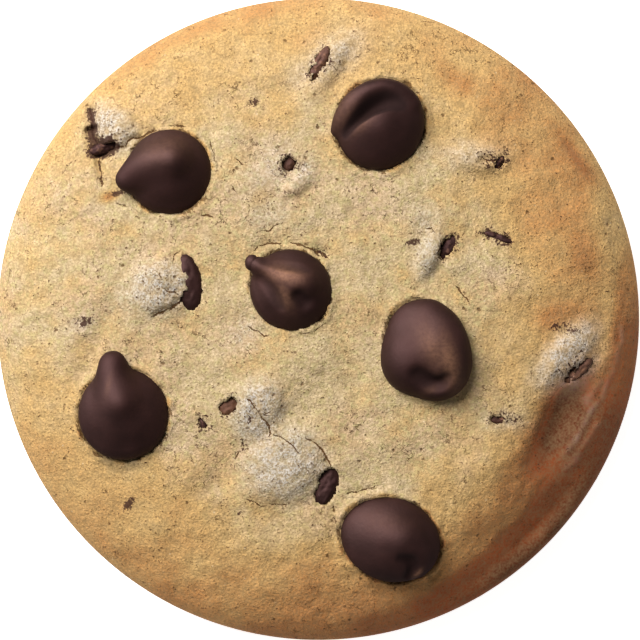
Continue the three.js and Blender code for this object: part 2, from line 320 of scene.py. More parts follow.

# Places that are painted browner or less brown than the rest at their distance from the middle.
# Most are baked so; some are painted shade or painted light, as marked.
BAKED_PLACES = (
    # Partly browning and partly painted shade in the dip on the lower right.
    Swell("shaded_dip", 27.6, -12.6, 7.0, 2.5, 58, 0.58),
    Swell("below_the_dip", 21.0, -20.5, 6.0, 3.0, 45, 0.16),
    Swell("rim_swell", 32.0, -13.6, 3.0, 1.3, 60, -0.12),
    Swell("bottom_right", 15.5, -31.5, 6.0, 2.6, 25, 0.14),
    Swell("golden_near_pit", -5.4, 22.2, 3.6, 1.8, -10, 0.16),
    Swell("golden_under_top_chip", 4.0, 14.0, 6.0, 4.0, 20, 0.05),
    Swell("golden_right_of_right_chip", 21.0, -4.0, 6.0, 5.0, 60, 0.12),
    Swell("golden_left_of_lower_mound", -14.0, -19.0, 5.0, 3.0, 60, 0.1),
    Swell("golden_above_left_chip", -27.0, -4.0, 3.5, 2.0, 20, 0.1),
    Swell("golden_upper_right", 27.0, 13.0, 7.0, 9.0, 70, 0.2),
    Swell("rusty_upper_rim", 30.2, 18.6, 3.6, 0.8, 125, 0.3),
    Swell("brown_far_right", 28.2, 0.4, 3.6, 1.7, 15, 0.32),
    Swell("brown_right_patch", 31.0, 7.4, 3.4, 1.3, 105, 0.2),
    # Painted light: the upper right rim is paled where it turns away from the light.
    Swell("pale_upper_right_rim", 33.6, 13.5, 7.0, 1.8, 112, -0.2),
    # Partly browning and partly painted shade in the outer part of the dip.
    Swell("dark_outer_dip", 28.9, -12.0, 5.2, 2.2, 66, 0.62),
    # Painted shadow below the chip at the rim.
    Swell("below_rim_chip", 28.9, -8.4, 2.8, 1.1, 40, 0.4),
    Swell("right_of_top_chip", 16.3, 27.8, 2.4, 1.2, -40, 0.2),
    # Painted shade along the lower right edge of the rim.
    Swell("lower_right_edge", 22.3, -28.5, 5.5, 1.0, 38, 0.3),
    Swell("right_edge", 29.3, -21.3, 5.5, 1.0, 54, 0.3),
    Swell("rusty_tip", -24.3, 14.2, 1.1, 0.6, 20, 0.6),
    Swell("golden_left_of_pit", -6.9, 13.9, 1.6, 1.2, 30, 0.3),
    # Painted light: these three are paled where the relief turns away from the light.
    Swell("pale_below_right_chip", 1.3, -7.1, 3.0, 2.4, 40, -0.12),
    Swell("pale_right_of_centre", 18.9, 2.2, 3.4, 2.6, 60, -0.14),
    Swell("pale_lower_right", 18.9, -21.2, 4.0, 3.0, 40, -0.1),
    Swell("golden_right_side", 25.0, 2.5, 7.0, 5.0, 80, 0.16),
)

# How brown the crust bakes towards the rim, by bearing in degrees: the slow browning that
# starts half way out, the dark wall of the rim itself, and where that wall starts.
RIM_BEARINGS = (0, 20, 45, 75, 90, 120, 150, 180, 205, 225, 250, 270, 290, 315, 340, 360)
SLOW_BROWNING = (
    0.36, 0.34, 0.5, 0.32, 0.34, 0.34, 0.12, 0.06, 0.36, 0.42, 0.48, 0.66, 0.62, 0.6, 0.54, 0.36,
)
WALL_BROWNING = (
    0.36, 0.0, 0.02, 0.04, 0.1, 0.15, 0.08, 0.0, 0.0, 0.04, 0.08, 0.08, 0.26, 0.46, 0.58, 0.36,
)
WALL_START = (
    0.915, 0.955, 0.96, 0.95, 0.95, 0.94, 0.95, 0.97, 0.96, 0.95, 0.945, 0.945, 0.91, 0.86, 0.87, 0.915,
)

# Each crack's route is followed by its width and depth, and some by how broken it is.
CRACKS = (
    Crack("crevice_top", ((-26.3, 25.0), (-26.5, 23.4), (-26.2, 21.6)), 0.5, 1.0, chocolate=0.8),
    Crack("crevice", ((-26.6, 22.6), (-26.0, 20.4), (-25.3, 18.4)), 0.62, 1.1, chocolate=1.0),
    Crack("crevice_branch", ((-26.0, 19.8), (-24.6, 19.5), (-23.4, 19.9)), 0.62, 1.0, chocolate=1.0),
    Crack("crevice_foot", ((-25.6, 18.8), (-25.3, 16.8), (-25.0, 15.3)), 0.2, 0.6, chocolate=0.4),
    Crack("flake_edge",
          ((-23.6, 20.0), (-22.4, 20.2), (-21.6, 21.0), (-20.2, 21.4), (-18.6, 22.2)), 0.2, 0.4),
    Crack("above_upper_left_chip",
          ((-20.2, 21.4), (-19.0, 22.4), (-17.2, 22.5), (-15.0, 22.3)), 0.16, 0.3, 0.3),
    Crack("under_upper_left_chip",
          ((-23.6, 13.6), (-21.4, 12.9), (-20.4, 11.8), (-17.6, 11.5)), 0.13, 0.25, 0.4),
    Crack("right_of_upper_left_chip", ((-13.0, 21.4), (-12.2, 19.4), (-11.6, 17.4)), 0.1, 0.2, 0.5),
    Crack("left_mound_split", ((-18.1, 3.5), (-17.3, 3.2), (-16.0, 2.9)), 0.15, 0.35),
    Crack("left_mound_foot", ((-19.6, 0.2), (-18.4, 0.6), (-17.0, 1.1), (-15.8, 2.3)), 0.16, 0.4),
    Crack("left_mound_top", ((-15.8, 8.2), (-16.6, 7.4), (-17.0, 5.9)), 0.1, 0.2, 0.3),
    Crack("pale_mound_split",
          ((-8.2, -9.2), (-7.1, -10.6), (-6.7, -11.4), (-5.6, -12.4), (-5.6, -13.6)), 0.15, 0.35),
    Crack("pale_mound_branch", ((-6.7, -11.3), (-5.1, -10.6)), 0.1, 0.2),
    Crack("pale_mound_foot", ((-5.2, -13.2), (-3.9, -14.1), (-1.9, -15.7)), 0.14, 0.3, 0.1),
    Crack("lower_mound_left", ((-8.6, -14.0), (-9.4, -15.8), (-9.8, -17.8)), 0.12, 0.3, 0.45),
    Crack("lower_mound_right", ((-1.6, -13.6), (0.2, -14.8), (1.2, -16.4), (1.6, -17.4)), 0.17, 0.35),
    Crack("below_lower_mound", ((-8.6, -20.6), (-6.4, -21.6), (-3.4, -21.4)), 0.1, 0.2, 0.5),
    Crack("above_centre_chip",
          ((-8.0, 7.8), (-6.2, 8.6), (-3.0, 9.0), (-0.8, 8.2), (0.9, 6.8)), 0.16, 0.3, 0.35),
    Crack("right_of_centre_chip", ((-0.6, 8.2), (0.6, 7.6), (1.4, 7.0)), 0.3, 0.5, chocolate=0.5),
    Crack("below_centre_chip", ((-8.6, -0.4), (-7.4, -1.4), (-5.6, -2.0)), 0.12, 0.25, 0.3),
    Crack("under_centre_chip", ((-2.6, -1.9), (-0.6, -1.6), (1.2, -0.4)), 0.14, 0.25, 0.2),
    Crack("upper_hairline",
          ((-9.8, 18.9), (-8.6, 18.2), (-9.8, 17.4), (-9.3, 16.5), (-10.1, 15.8), (-9.0, 13.7)),
          0.1, 0.2, 0.2),
    Crack("hairline_fork", ((-9.4, 17.2), (-11.0, 16.4)), 0.1, 0.15, 0.2),
    Crack("middle_hairline", ((-7.0, 9.9), (-5.9, 10.2), (-4.9, 11.0), (-3.4, 11.2)), 0.1, 0.2, 0.3),
    Crack("near_pit", ((-6.8, 13.6), (-5.4, 14.4), (-4.6, 13.9)), 0.1, 0.15, 0.3),
    Crack("left_chip_crack", ((-14.1, 11.9), (-12.9, 12.1), (-11.9, 11.7)), 0.12, 0.2, 0.2),
    Crack("above_right_chip", ((14.6, 4.4), (16.4, 3.4), (17.6, 1.8)), 0.16, 0.3, 0.3),
    Crack("ridge_split", ((11.6, 10.0), (13.0, 10.6), (13.8, 9.4)), 0.12, 0.25, 0.2),
    Crack("above_bottom_chip", ((3.0, -20.2), (5.2, -20.0), (6.8, -19.3)), 0.14, 0.25, 0.2),
    Crack("left_of_bottom_chip", ((1.6, -21.6), (2.0, -23.4), (2.2, -25.2)), 0.16, 0.3, 0.3),
    Crack("top_chip_split", ((1.4, 31.6), (0.8, 30.2), (-0.3, 27.8)), 0.2, 0.5),
    Crack("far_chip_split", ((18.7, 19.0), (19.6, 18.4), (20.8, 18.6)), 0.18, 0.4, chocolate=0.5),
    Crack("right_speckle", ((16.6, 9.4), (17.4, 10.2)), 0.12, 0.2),
)

# Faint raised lines, three of them along the folds by the rim.
FOLDS = (
    Fold("right_ridge_line",
         ((35.4, 0.0), (35.7, -2.7), (34.5, -4.9), (33.4, -7.2), (32.9, -9.2), (31.2, -10.8), (30.0, -14.0),
          (28.3, -16.6)), 0.3, 0.12, 0.2),
    Fold("outer_ridge_line", ((33.6, -11.6), (32.0, -12.6), (30.6, -15.2), (28.6, -18.4)), 0.4, 0.15, 0.12),
    Fold("dip_edge", ((33.2, -6.0), (31.6, -8.8), (30.2, -10.4)), 0.5, 0.15, 0.25),
    Fold("middle_ridge_line", ((-2.2, -6.0), (0.2, -3.4), (1.4, -1.4)), 0.7, 0.06, 0.1),
)


@dataclass(frozen=True)
class CrustSection:
    """The dough's outline in section, from the crown to the edge of the flat underside.

    Fullness is the power of the curve from the crown to the widest line, so more is squarer.
    The two kinds of unevenness are in millimetres, and relief fades out from relief_end on, as
    a share of the radius.
    """

    diameter: float = 75.0
    base_diameter: float = 69.5
    rim_height: float = 3.8
    crown_height: float = 11.6
    fullness: float = 2.9
    samples: int = 1200
    slow_unevenness: float = 0.16
    quick_unevenness: float = 0.1
    relief_end: float = 0.93

    @property
    def radius(self) -> float:
        """The radius of the widest line."""
        return self.diameter / 2

    def top_line(self) -> tuple[Array, Array]:
        """The top from the crown to the widest line, in even steps along it.

        Returns:
            How far out and how high each step is.
        """
        turn = np.linspace(0.0, math.pi / 2, self.samples)
        out = self.radius * np.sin(turn) ** (2 / self.fullness)
        height = self.rim_height + (self.crown_height - self.rim_height) * np.cos(turn)
        length = np.concatenate([[0.0], np.cumsum(np.hypot(np.diff(out), np.diff(height)))])
        even = np.linspace(0.0, length[-1], self.samples)
        return np.interp(even, length, out), np.interp(even, length, height)

    def height_at(self, x: Array, y: Array) -> Array:
        """The height of the plain dome over each place.

        Args:
            x: Places along X, in millimetres.
            y: Places along Y, in millimetres.

        Returns:
            One height for each place.
        """
        outward = np.clip(np.hypot(x, y) / self.radius, 0.0, 1.0)
        rise = np.sqrt(1.0 - outward**self.fullness)
        return self.rim_height + (self.crown_height - self.rim_height) * rise

    def relief(self, x: Array, y: Array) -> Array:
        """The height that swells and a slow unevenness add to the dome at each place.

        Args:
            x: Places along X, in millimetres.
            y: Places along Y, in millimetres.

        Returns:
            One height for each place, which fades out at the rim.
        """
        slow = np.sin(0.31 * x + 1.3) * np.cos(0.27 * y - 0.6)
        quick = np.sin(0.73 * x - 0.42 * y + 2.1) * np.cos(0.61 * y + 0.35 * x)
        height = self.slow_unevenness * slow + self.quick_unevenness * quick
        for swell in SWELLS:
            height = height + swell.height_at(x, y)
        return height * (1.0 - smoothstep(np.hypot(x, y) / self.radius, self.relief_end, 1.0))

    def crust_height(self, x: float, y: float) -> float:
        """The height of the crust at one place, relief included."""
        return float(self.height_at(np.array(x), np.array(y)) + self.relief(np.array(x), np.array(y)))


SECTION = CrustSection()


@dataclass(frozen=True)
class Roll:
    """A roll of chocolate along a chain of balls, joined softly to the rest of its chip.

    Each ball is x, y, z and radius in millimetres from the chip's middle. A carved one is a
    groove or a hollow. Soft is how wide the joint is, and shade how dark the painted shade inside
    a carved one is.
    """

    name: str
    balls: tuple[tuple[float, float, float, float], ...]
    soft: float = 1.0
    carved: bool = False
    shade: float = 0.9

    def chain(self, steps: int = 6) -> list[Array]:
        """The balls, with more between them along a smooth curve.

        Args:
            steps: How many balls take the place of one.

        Returns:
            The x, y, z and radius of each ball.
        """
        given = [np.array(ball) for ball in self.balls]
        if len(given) < 3:
            return given
        ends = [2 * given[0] - given[1], *given, 2 * given[-1] - given[-2]]
        made = []
        for before, start, end, after in zip(ends, ends[1:], ends[2:], ends[3:]):
            for share in np.linspace(0.0, 1.0, steps, endpoint=False):
                bend = (2 * before - 5 * start + 4 * end - after) * share**2
                twist = (3 * (start - end) + after - before) * share**3
                made.append(0.5 * (2 * start + (end - before) * share + bend + twist))
        return made + [given[-1]]

    def distance(self, points: Array) -> Array:
        """How far outside the roll each point is.

        Args:
            points: Points round the chip's middle.

        Returns:
            One distance for each point, below zero inside the roll.
        """
        nearest = np.full(len(points), np.inf)
        chain = self.chain()
        for start, end in zip(chain, chain[1:]):
            first = np.array(start[:3])
            run = np.array(end[:3]) - first
            length = float(run @ run)
            share = np.clip((points - first) @ run / length, 0.0, 1.0) if length else np.zeros(len(points))
            radius = start[3] + share * (end[3] - start[3])
            away = np.linalg.norm(points - first - share[:, None] * run, axis=1) - radius
            nearest = np.minimum(nearest, away)
        return nearest

    def join(self, points: Array, reach: Array) -> Array:
        """Adds the roll to a form, or carves it out.

        Args:
            points: Points round the form.
            reach: How far outside the form each point is.

        Returns:
            How far outside the changed form each point is.
        """
        own = self.distance(points)
        if self.carved:
            near = np.clip(self.soft - np.abs(reach + own), 0.0, None) / self.soft
            return np.maximum(reach, -own) + near**2 * self.soft / 4
        near = np.clip(self.soft - np.abs(reach - own), 0.0, None) / self.soft
        return np.minimum(reach, own) - near**2 * self.soft / 4


@dataclass(frozen=True)
class ChipForm:
    """A whole chip: a low oval drop whose tip has slumped or curled over.

    Length, width and height are the body's, and turn is the way its length lies. Lift is how
    far its middle stands above the crust, and dome how high the body rises over it without its
    peak. The peak is x and y of its top, and its width is half the top's. Rolls make its tip
    and its folds, its blooms are the places where it is dull and pale and where painted
    highlights lie on the faces that catch the light, and the nub is the round end of a drawn
    out tip, with its radius. All are from its own middle.
    """

    name: str
    x: float
    y: float
    length: float
    width: float
    turn: float
    height: float
    lift: float
    peak: tuple[float, float]
    rolls: tuple[Roll, ...] = ()
    blooms_and_highlights: tuple[Swell, ...] = ()
    dome: float = 2.5
    peak_rise: float = 3.0
    peak_width: float = 1.5
    nub: tuple[float, float, float, float] | None = None

    @property
    def middle(self) -> tuple[float, float, float]:
        """Where the middle of the body is."""
        return (self.x, self.y, SECTION.crust_height(self.x, self.y) + self.lift)

    def body_distance(self, points: Array) -> Array:
        """About how far outside the oval body each point is.

        Args:
            points: Points round the chip's middle.

        Returns:
            One distance for each point, below zero inside the body.
        """
        along, across = turned(points[:, 0], points[:, 1], self.turn)
        along = along * 2 / self.length
        across = across * 2 / self.width
        half = np.where(points[:, 2] < 0.0, self.height / 2, self.dome)
        rise = points[:, 2] / half
        share = np.sqrt(along**2 + across**2 + rise**2) + TINY
        steepness = np.sqrt((along * 2 / self.length) ** 2 + (across * 2 / self.width) ** 2
                            + (rise / half) ** 2) + TINY
        return share * (share - 1.0) / steepness

    def distance(self, points: Array) -> Array:
        """About how far outside the whole chip each point is.

        Args:
            points: Points round the chip's middle.

        Returns:
            One distance for each point, below zero inside the chip.
        """
        reach = self.body_distance(points)
        top_x, top_y = self.peak
        foot = (0.2 * top_x, 0.2 * top_y, -0.6, 3.8)
        waist = (0.7 * top_x, 0.7 * top_y, 0.9, 2.7)
        tip = (top_x, top_y, self.peak_rise + 1.1 - self.peak_width, self.peak_width)
        peak = Roll("peak", (foot, waist, tip), 2.2)
        for roll in (peak, *self.rolls):
            reach = roll.join(points, reach)
        return reach

    def surface(self, ball: Array, outermost: float = 11.0, steps: int = 40, stride: float = 0.92) -> Array:
        """The chip's surface round its own middle, found from outside.

        Args:
            ball: Points of a unit ball, which are drawn towards its top.
            outermost: How far out the search starts, in millimetres.
            steps: How many steps inwards are taken.
            stride: The share of the distance that is left that each step covers.

        Returns:
            One point for each point of the ball.
        """
        directions = ball + np.array([0.0, 0.0, 0.42])
        directions /= np.linalg.norm(directions, axis=1)[:, None]
        seat = np.array([0.0, 0.0, -2.0])
        out = np.full(len(ball), outermost)
        for _ in range(steps):
            reach = self.distance(seat + directions * out[:, None])
            out = np.clip(out - stride * reach, 0.5, outermost)
        return seat + directions * out[:, None]

    def painted_groove_shade(self, points: Array) -> Array:
        """The painted shade inside the grooves and hollows: how deep in one each point lies, times its
        shade.

        Args:
            points: Points round the chip's middle.

        Returns:
            One value for each point, from 0 to 1.
        """
        amount = np.zeros(len(points))
        for roll in self.rolls:
            if roll.carved:
                inside = 1.0 - smoothstep(roll.distance(points), 0.05, 0.6)
                amount = np.maximum(amount, roll.shade * inside)
        return amount

    def outside(self, x: Array, y: Array) -> tuple[Array, Array]:
        """How places in plan lie to the body's outline.

        Args:
            x: Places along X, in millimetres.
            y: Places along Y, in millimetres.

        Returns:
            How far outside the outline each place is, below zero inside it, and the share of
            the way from the middle to the outline.
        """
        along, across = turned(x - self.x, y - self.y, self.turn)
        share = np.hypot(along * 2 / self.length, across * 2 / self.width) + TINY
        away = np.hypot(x - self.x, y - self.y)
        return away * (1.0 - 1.0 / share), share


# The six whole chips. Places are from the middle of the cookie, and the balls and the blooms are
# from the middle of the chip.
CHIPS = (
    ChipForm(
        "chip_top", 7.2, 22.6, 10.9, 10.0, 60, 8.0, 0.3, (0.0, 0.2), dome=2.5, peak_rise=2.2, peak_width=2.7,
        rolls=(
            Roll("folded_over_tip", ((-5.5, -1.0, 0.1, 0.42), (-4.2, 0.6, 0.8, 1.25), (-3.0, 2.2, 1.4, 1.5),
                                     (-1.6, 3.5, 1.7, 1.3), (0.4, 4.2, 1.8, 1.0), (2.4, 3.7, 1.5, 0.9),
                                     (3.7, 2.4, 1.0, 0.9)), 0.7),
            Roll("groove", ((-4.2, -1.3, 1.7, 0.2), (-3.0, 0.1, 2.2, 0.45), (-1.7, 1.3, 2.6, 0.8),
                            (-0.3, 2.2, 2.8, 0.95), (1.2, 2.6, 2.9, 0.85), (2.6, 2.2, 2.8, 0.45)),
                 0.4, carved=True),
        ),
        blooms_and_highlights=(
            # Painted highlights: the lit left side of the lip, and the sheen on the slope beside the groove.
            Swell("lip_side", -4.4, 1.4, 2.6, 1.1, 60, 0.3),
            Swell("beside_the_groove", -2.1, 0.0, 1.9, 0.7, 42, 0.3),
        ),
    ),
    ChipForm(
        "chip_upper_left", -17.3, 17.0, 9.7, 9.6, 15, 7.4, 0.1, (0.3, 1.3), dome=2.0,
        rolls=(
            Roll("slumped_tip", ((0.4, 1.4, 2.1, 1.8), (-2.0, 1.0, 1.6, 1.8), (-3.8, 0.0, 1.0, 1.65),
                                 (-4.85, -0.8, 0.7, 1.45)), 1.3),
        ),
        # Painted highlight: the upper face, which faces the light, is paled.
        blooms_and_highlights=(Swell("upper_face", -0.8, 2.9, 3.2, 1.6, 12, 0.24),),
    ),
    ChipForm(
        "chip_centre", -3.2, 3.3, 9.4, 8.8, -40, 6.8, 0.1, (1.0, 0.9), dome=1.9, peak_rise=2.6,
        rolls=(
            Roll("twisted_tip", ((1.6, 0.8, 2.0, 1.5), (-0.6, 1.5, 1.8, 1.5), (-2.3, 2.25, 1.5, 1.2),
                                 (-3.4, 2.75, 1.35, 1.15), (-4.1, 3.0, 1.3, 1.0)), 0.8),
            Roll("upper_crease", ((-2.9, 3.6, 2.4, 0.3), (-1.3, 3.2, 3.0, 0.45), (0.4, 2.9, 3.2, 0.45),
                                  (2.2, 2.6, 3.2, 0.25)), 0.8, carved=True, shade=0.5),
            Roll("dimple", ((1.0, -0.8, 3.3, 0.6), (1.7, -1.5, 2.9, 0.6)), 0.9, carved=True, shade=0.5),
            Roll("lower_crease", ((-3.6, 1.3, 2.3, 0.3), (-2.5, 0.2, 2.9, 0.45), (-1.7, -0.9, 2.9, 0.45),
                                  (-1.2, -2.0, 2.7, 0.25)), 0.8, carved=True, shade=0.5),
        ),
        nub=(-4.45, 3.2, 1.4, 0.84),
        blooms_and_highlights=(
            Swell("smear", -0.7, 1.9, 2.1, 1.0, -12, 0.95),
            Swell("lower_smear", -0.7, -0.6, 1.8, 0.85, -68, 0.48),
        ),
    ),
    ChipForm(
        "chip_right", 12.4, -3.4, 11.4, 8.8, 108, 7.6, 0.3, (0.9, -0.4), dome=2.2, peak_rise=2.5,
        peak_width=2.4,
        rolls=(
            Roll("broad_foot", ((-1.2, -1.5, -0.4, 3.9), (1.6, -2.1, -0.4, 3.6)), 1.4),
            Roll("curled_side", ((0.8, 3.6, 0.5, 1.6), (2.1, 2.2, 0.9, 1.9), (2.8, 0.2, 1.1, 2.0),
                                 (2.8, -2.0, 1.1, 1.9), (2.2, -3.6, 1.0, 1.6), (1.3, -4.5, 1.0, 1.0),
                                 (0.5, -4.7, 1.1, 0.6)), 1.8),
            Roll("curl_hollow", ((2.4, -3.4, 3.1, 0.35), (1.6, -4.0, 2.6, 0.55), (0.5, -3.9, 2.9, 0.68),
                                 (-0.8, -3.2, 3.4, 0.7)), 1.1, carved=True, shade=0.4),
        ),
        blooms_and_highlights=(
            # The two bands are partly the chip's dull bloom and partly painted light on the face that
            # catches it; the curl is a painted highlight on its bead.
            Swell("broad_band", 1.0, 0.0, 3.0, 1.4, 118, 0.5),
            Swell("right_band", 2.7, -1.6, 3.2, 1.1, 105, 0.72),
            Swell("curl", 0.6, -4.8, 0.9, 0.45, 20, 0.3),
        ),
    ),
    ChipForm(
        "chip_lower_left", -22.6, -11.1, 10.5, 10.4, 100, 8.0, 0.5, (-0.3, 1.3), dome=2.1,
        rolls=(
            Roll("leaning_tip", ((-0.4, 1.2, 1.4, 2.3), (-0.85, 3.0, 1.3, 2.1), (-1.2, 4.5, 1.1, 1.9),
                                 (-1.2, 5.75, 0.9, 1.75)), 1.1),
        ),
        # Painted highlight: a pale streak where the ridge of the tip catches the light.
        blooms_and_highlights=(Swell("dull_streak", -1.7, 3.4, 1.3, 0.35, 78, 0.2),),
    ),
    ChipForm(
        "chip_bottom", 8.4, -25.6, 11.8, 9.5, -18, 7.6, 0.5, (1.1, 0.1), dome=2.2, peak_rise=2.5,
        peak_width=2.4,
        rolls=(
            Roll("curled_tip", ((1.6, -0.4, 1.4, 1.9), (3.0, -1.3, 1.2, 1.5), (3.7, -2.4, 0.8, 1.0),
                                (3.2, -3.5, 0.5, 0.7)), 1.0),
            Roll("curl_hollow", ((1.3, -2.4, 3.2, 0.5), (2.3, -2.6, 2.6, 0.6), (2.6, -3.4, 1.9, 0.5),
                                 (2.1, -4.2, 1.2, 0.3)), 0.6, carved=True, shade=0.6),
        ),
        blooms_and_highlights=(
            # Painted highlights: the broad face that faces the light, and a whitish glint by the curl.
            Swell("broad_face", -1.0, 2.2, 3.0, 1.3, -12, 0.12),
            Swell("whitish_spot", 3.1, -3.9, 0.7, 0.3, 40, 0.8),
        ),
    ),
)


@dataclass(frozen=True)
class BitForm:
    """A bit of chocolate that the crust nearly covers.

    Sizes are whole, turn is the way its length lies, and proud is how far its top stands above
    the crust round it, below zero in a pit. Margin is the gap round it in its opening,
    covered how far crumbs of crust still hide it, cover an oval of crust over a part of it, and
    crusted how brown its top is from the dough that baked onto it.
    """

    name: str
    x: float
    y: float
    length: float
    width: float
    height: float
    turn: float
    proud: float
    margin: float = -0.28
    stain: float = 0.5
    covered: float = 0.0
    cover: Swell | None = None
    crusted: float = 0.0

    @property
    def top(self) -> float:
        """The height of its top."""
        return SECTION.crust_height(self.x, self.y) + self.proud

    def inside(self, x: Array, y: Array, grow: float = 0.0) -> Array:
        """How places in plan lie to its outline.

        Args:
            x: Places along X, in millimetres.
            y: Places along Y, in millimetres.
            grow: How much larger all round the outline is taken to be.

        Returns:
            The share of the way from the middle to the outline, above 1 outside it.
        """
        along, across = turned(x - self.x, y - self.y, self.turn)
        return np.hypot(along / (self.length / 2 + grow), across / (self.width / 2 + grow))


# The six chips that show through the crust and the six smaller bits. Places are from the middle
# of the cookie.
BITS = (
    BitForm("sunk_chip_left", -15.1, 4.2, 7.0, 3.4, 4.4, 98, 0.1, margin=-0.1, stain=0.2,
            cover=Swell("mound", -17.2, 4.3, 2.1, 3.6, 0, 1.0)),
    BitForm("sunk_chip_lower", 1.0, -19.4, 5.0, 2.5, 4.0, 68, 0.4, margin=-0.14, stain=0.15,
            cover=Swell("mound", -1.3, -17.8, 1.5, 2.2, 20, 1.0)),
    BitForm("sunk_chip_right", 15.1, 8.3, 3.3, 1.6, 3.0, 58, 0.1, stain=0.5, covered=0.5),
    BitForm("sunk_chip_top", 0.1, 29.6, 4.8, 1.5, 3.0, 62, 0.0, stain=0.4, covered=1.6,
            crusted=0.4),
    BitForm("sunk_chip_rim", 30.3, -6.0, 4.4, 1.5, 3.0, 42, 0.2, margin=-0.12, stain=0.06,
            covered=5.0, crusted=0.5),
    BitForm("sunk_chip_far", 20.9, 18.2, 2.6, 1.2, 2.6, 55, -0.1, stain=0.4, covered=2.4),
    BitForm("chip_in_pit", -3.4, 18.0, 1.9, 1.6, 2.4, 70, -0.4, margin=-0.05, stain=0.5, crusted=0.3),
    BitForm("chip_in_crack", -25.0, 19.9, 3.6, 1.5, 2.6, 20, -0.3, stain=0.8, covered=0.4),
    BitForm("chip_in_hollow", -10.4, -10.1, 2.6, 1.9, 2.4, 35, -0.3, margin=-0.15, stain=0.3,
            crusted=0.6),
    BitForm("shard_right", 20.8, 9.5, 3.9, 0.9, 2.0, -20, 0.2, stain=0.5, covered=0.4),
    BitForm("shard_lower_right", 21.2, -11.6, 2.6, 1.1, 2.0, 5, 0.0, stain=0.4, covered=1.6,
            crusted=0.2),
    BitForm("shard_left", -13.4, -12.2, 1.9, 1.0, 1.8, -58, 0.1, stain=0.4, covered=0.3),
)

# Places where the crust is open and crumbly, with dark specks between its grains.
SPECKLED_PLACES = (
    Swell("over_left_chip", -18.2, 3.8, 3.5, 3.3, 10, 0.3),
    Swell("right_side", 26.0, 7.0, 8.0, 12.0, 80, 0.13),
    Swell("over_rim_chip", 29.9, -5.5, 3.4, 1.5, 45, 0.34),
    Swell("below_pit", -6.6, 13.6, 3.4, 2.2, -20, 0.3),
    Swell("pale_mound", -6.9, -10.6, 2.6, 2.2, 75, 0.26),
    Swell("over_crack_chip", -24.4, 21.8, 2.6, 1.8, -50, 0.3),
    Swell("over_far_chip", 19.6, 18.6, 2.8, 1.3, 0, 0.32),
    Swell("by_lower_right_shard", 22.0, -11.7, 2.2, 1.1, 0, 0.34),
    Swell("below_centre_chip", -8.4, -1.4, 2.0, 1.6, 60, 0.26),
    Swell("by_lower_chip", -0.8, -17.6, 1.6, 2.2, 20, 0.26),
    Swell("right_of_centre_chip", 4.4, 8.6, 2.6, 1.2, -60, 0.2),
)

# Brown smears and buried crumbs that only stain the crust.
SMUDGES = (
    Swell("right_smear", 28.4, -1.1, 2.0, 0.9, 0, 0.62),
    Swell("rim_streak", 29.2, -5.2, 3.2, 0.6, 44, 0.5),
    Swell("lower_right_speckle", 23.0, -11.6, 1.0, 0.6, 10, 0.6),
    Swell("far_patch", 19.8, 18.8, 1.8, 0.9, 0, 0.45),
    Swell("left_dash", -27.0, -0.3, 1.5, 0.75, 12, 0.72),
    Swell("upper_spot", -7.4, 25.3, 0.6, 0.5, 0, 1.0),
    Swell("lower_left_spot", -21.9, -21.4, 0.5, 0.9, -20, 0.95),
    Swell("right_spot", 10.8, 8.8, 1.0, 0.5, 20, 0.85),
    Swell("hollow_crumb", -7.9, -11.7, 0.35, 0.5, 10, 0.75),
    Swell("mound_smudge", -6.6, -9.8, 0.9, 0.5, 45, 0.4),
    Swell("left_mound_spot", -13.8, 7.8, 0.35, 0.35, 0, 0.6),
    Swell("left_edge_spot", -32.6, 2.7, 0.35, 0.25, 0, 0.4),
    Swell("lower_spots", -8.6, -14.9, 0.4, 0.8, 20, 0.85),
    Swell("bottom_spot", -9.2, -22.6, 0.4, 0.35, 0, 0.85),
    Swell("above_pit", -3.4, 19.2, 0.8, 0.4, 10, 0.5),
    Swell("tip_smear", -23.4, 14.6, 1.1, 0.5, 22, 0.85),
    Swell("crack_spot", -26.2, 24.9, 0.5, 0.6, 0, 0.5),
)


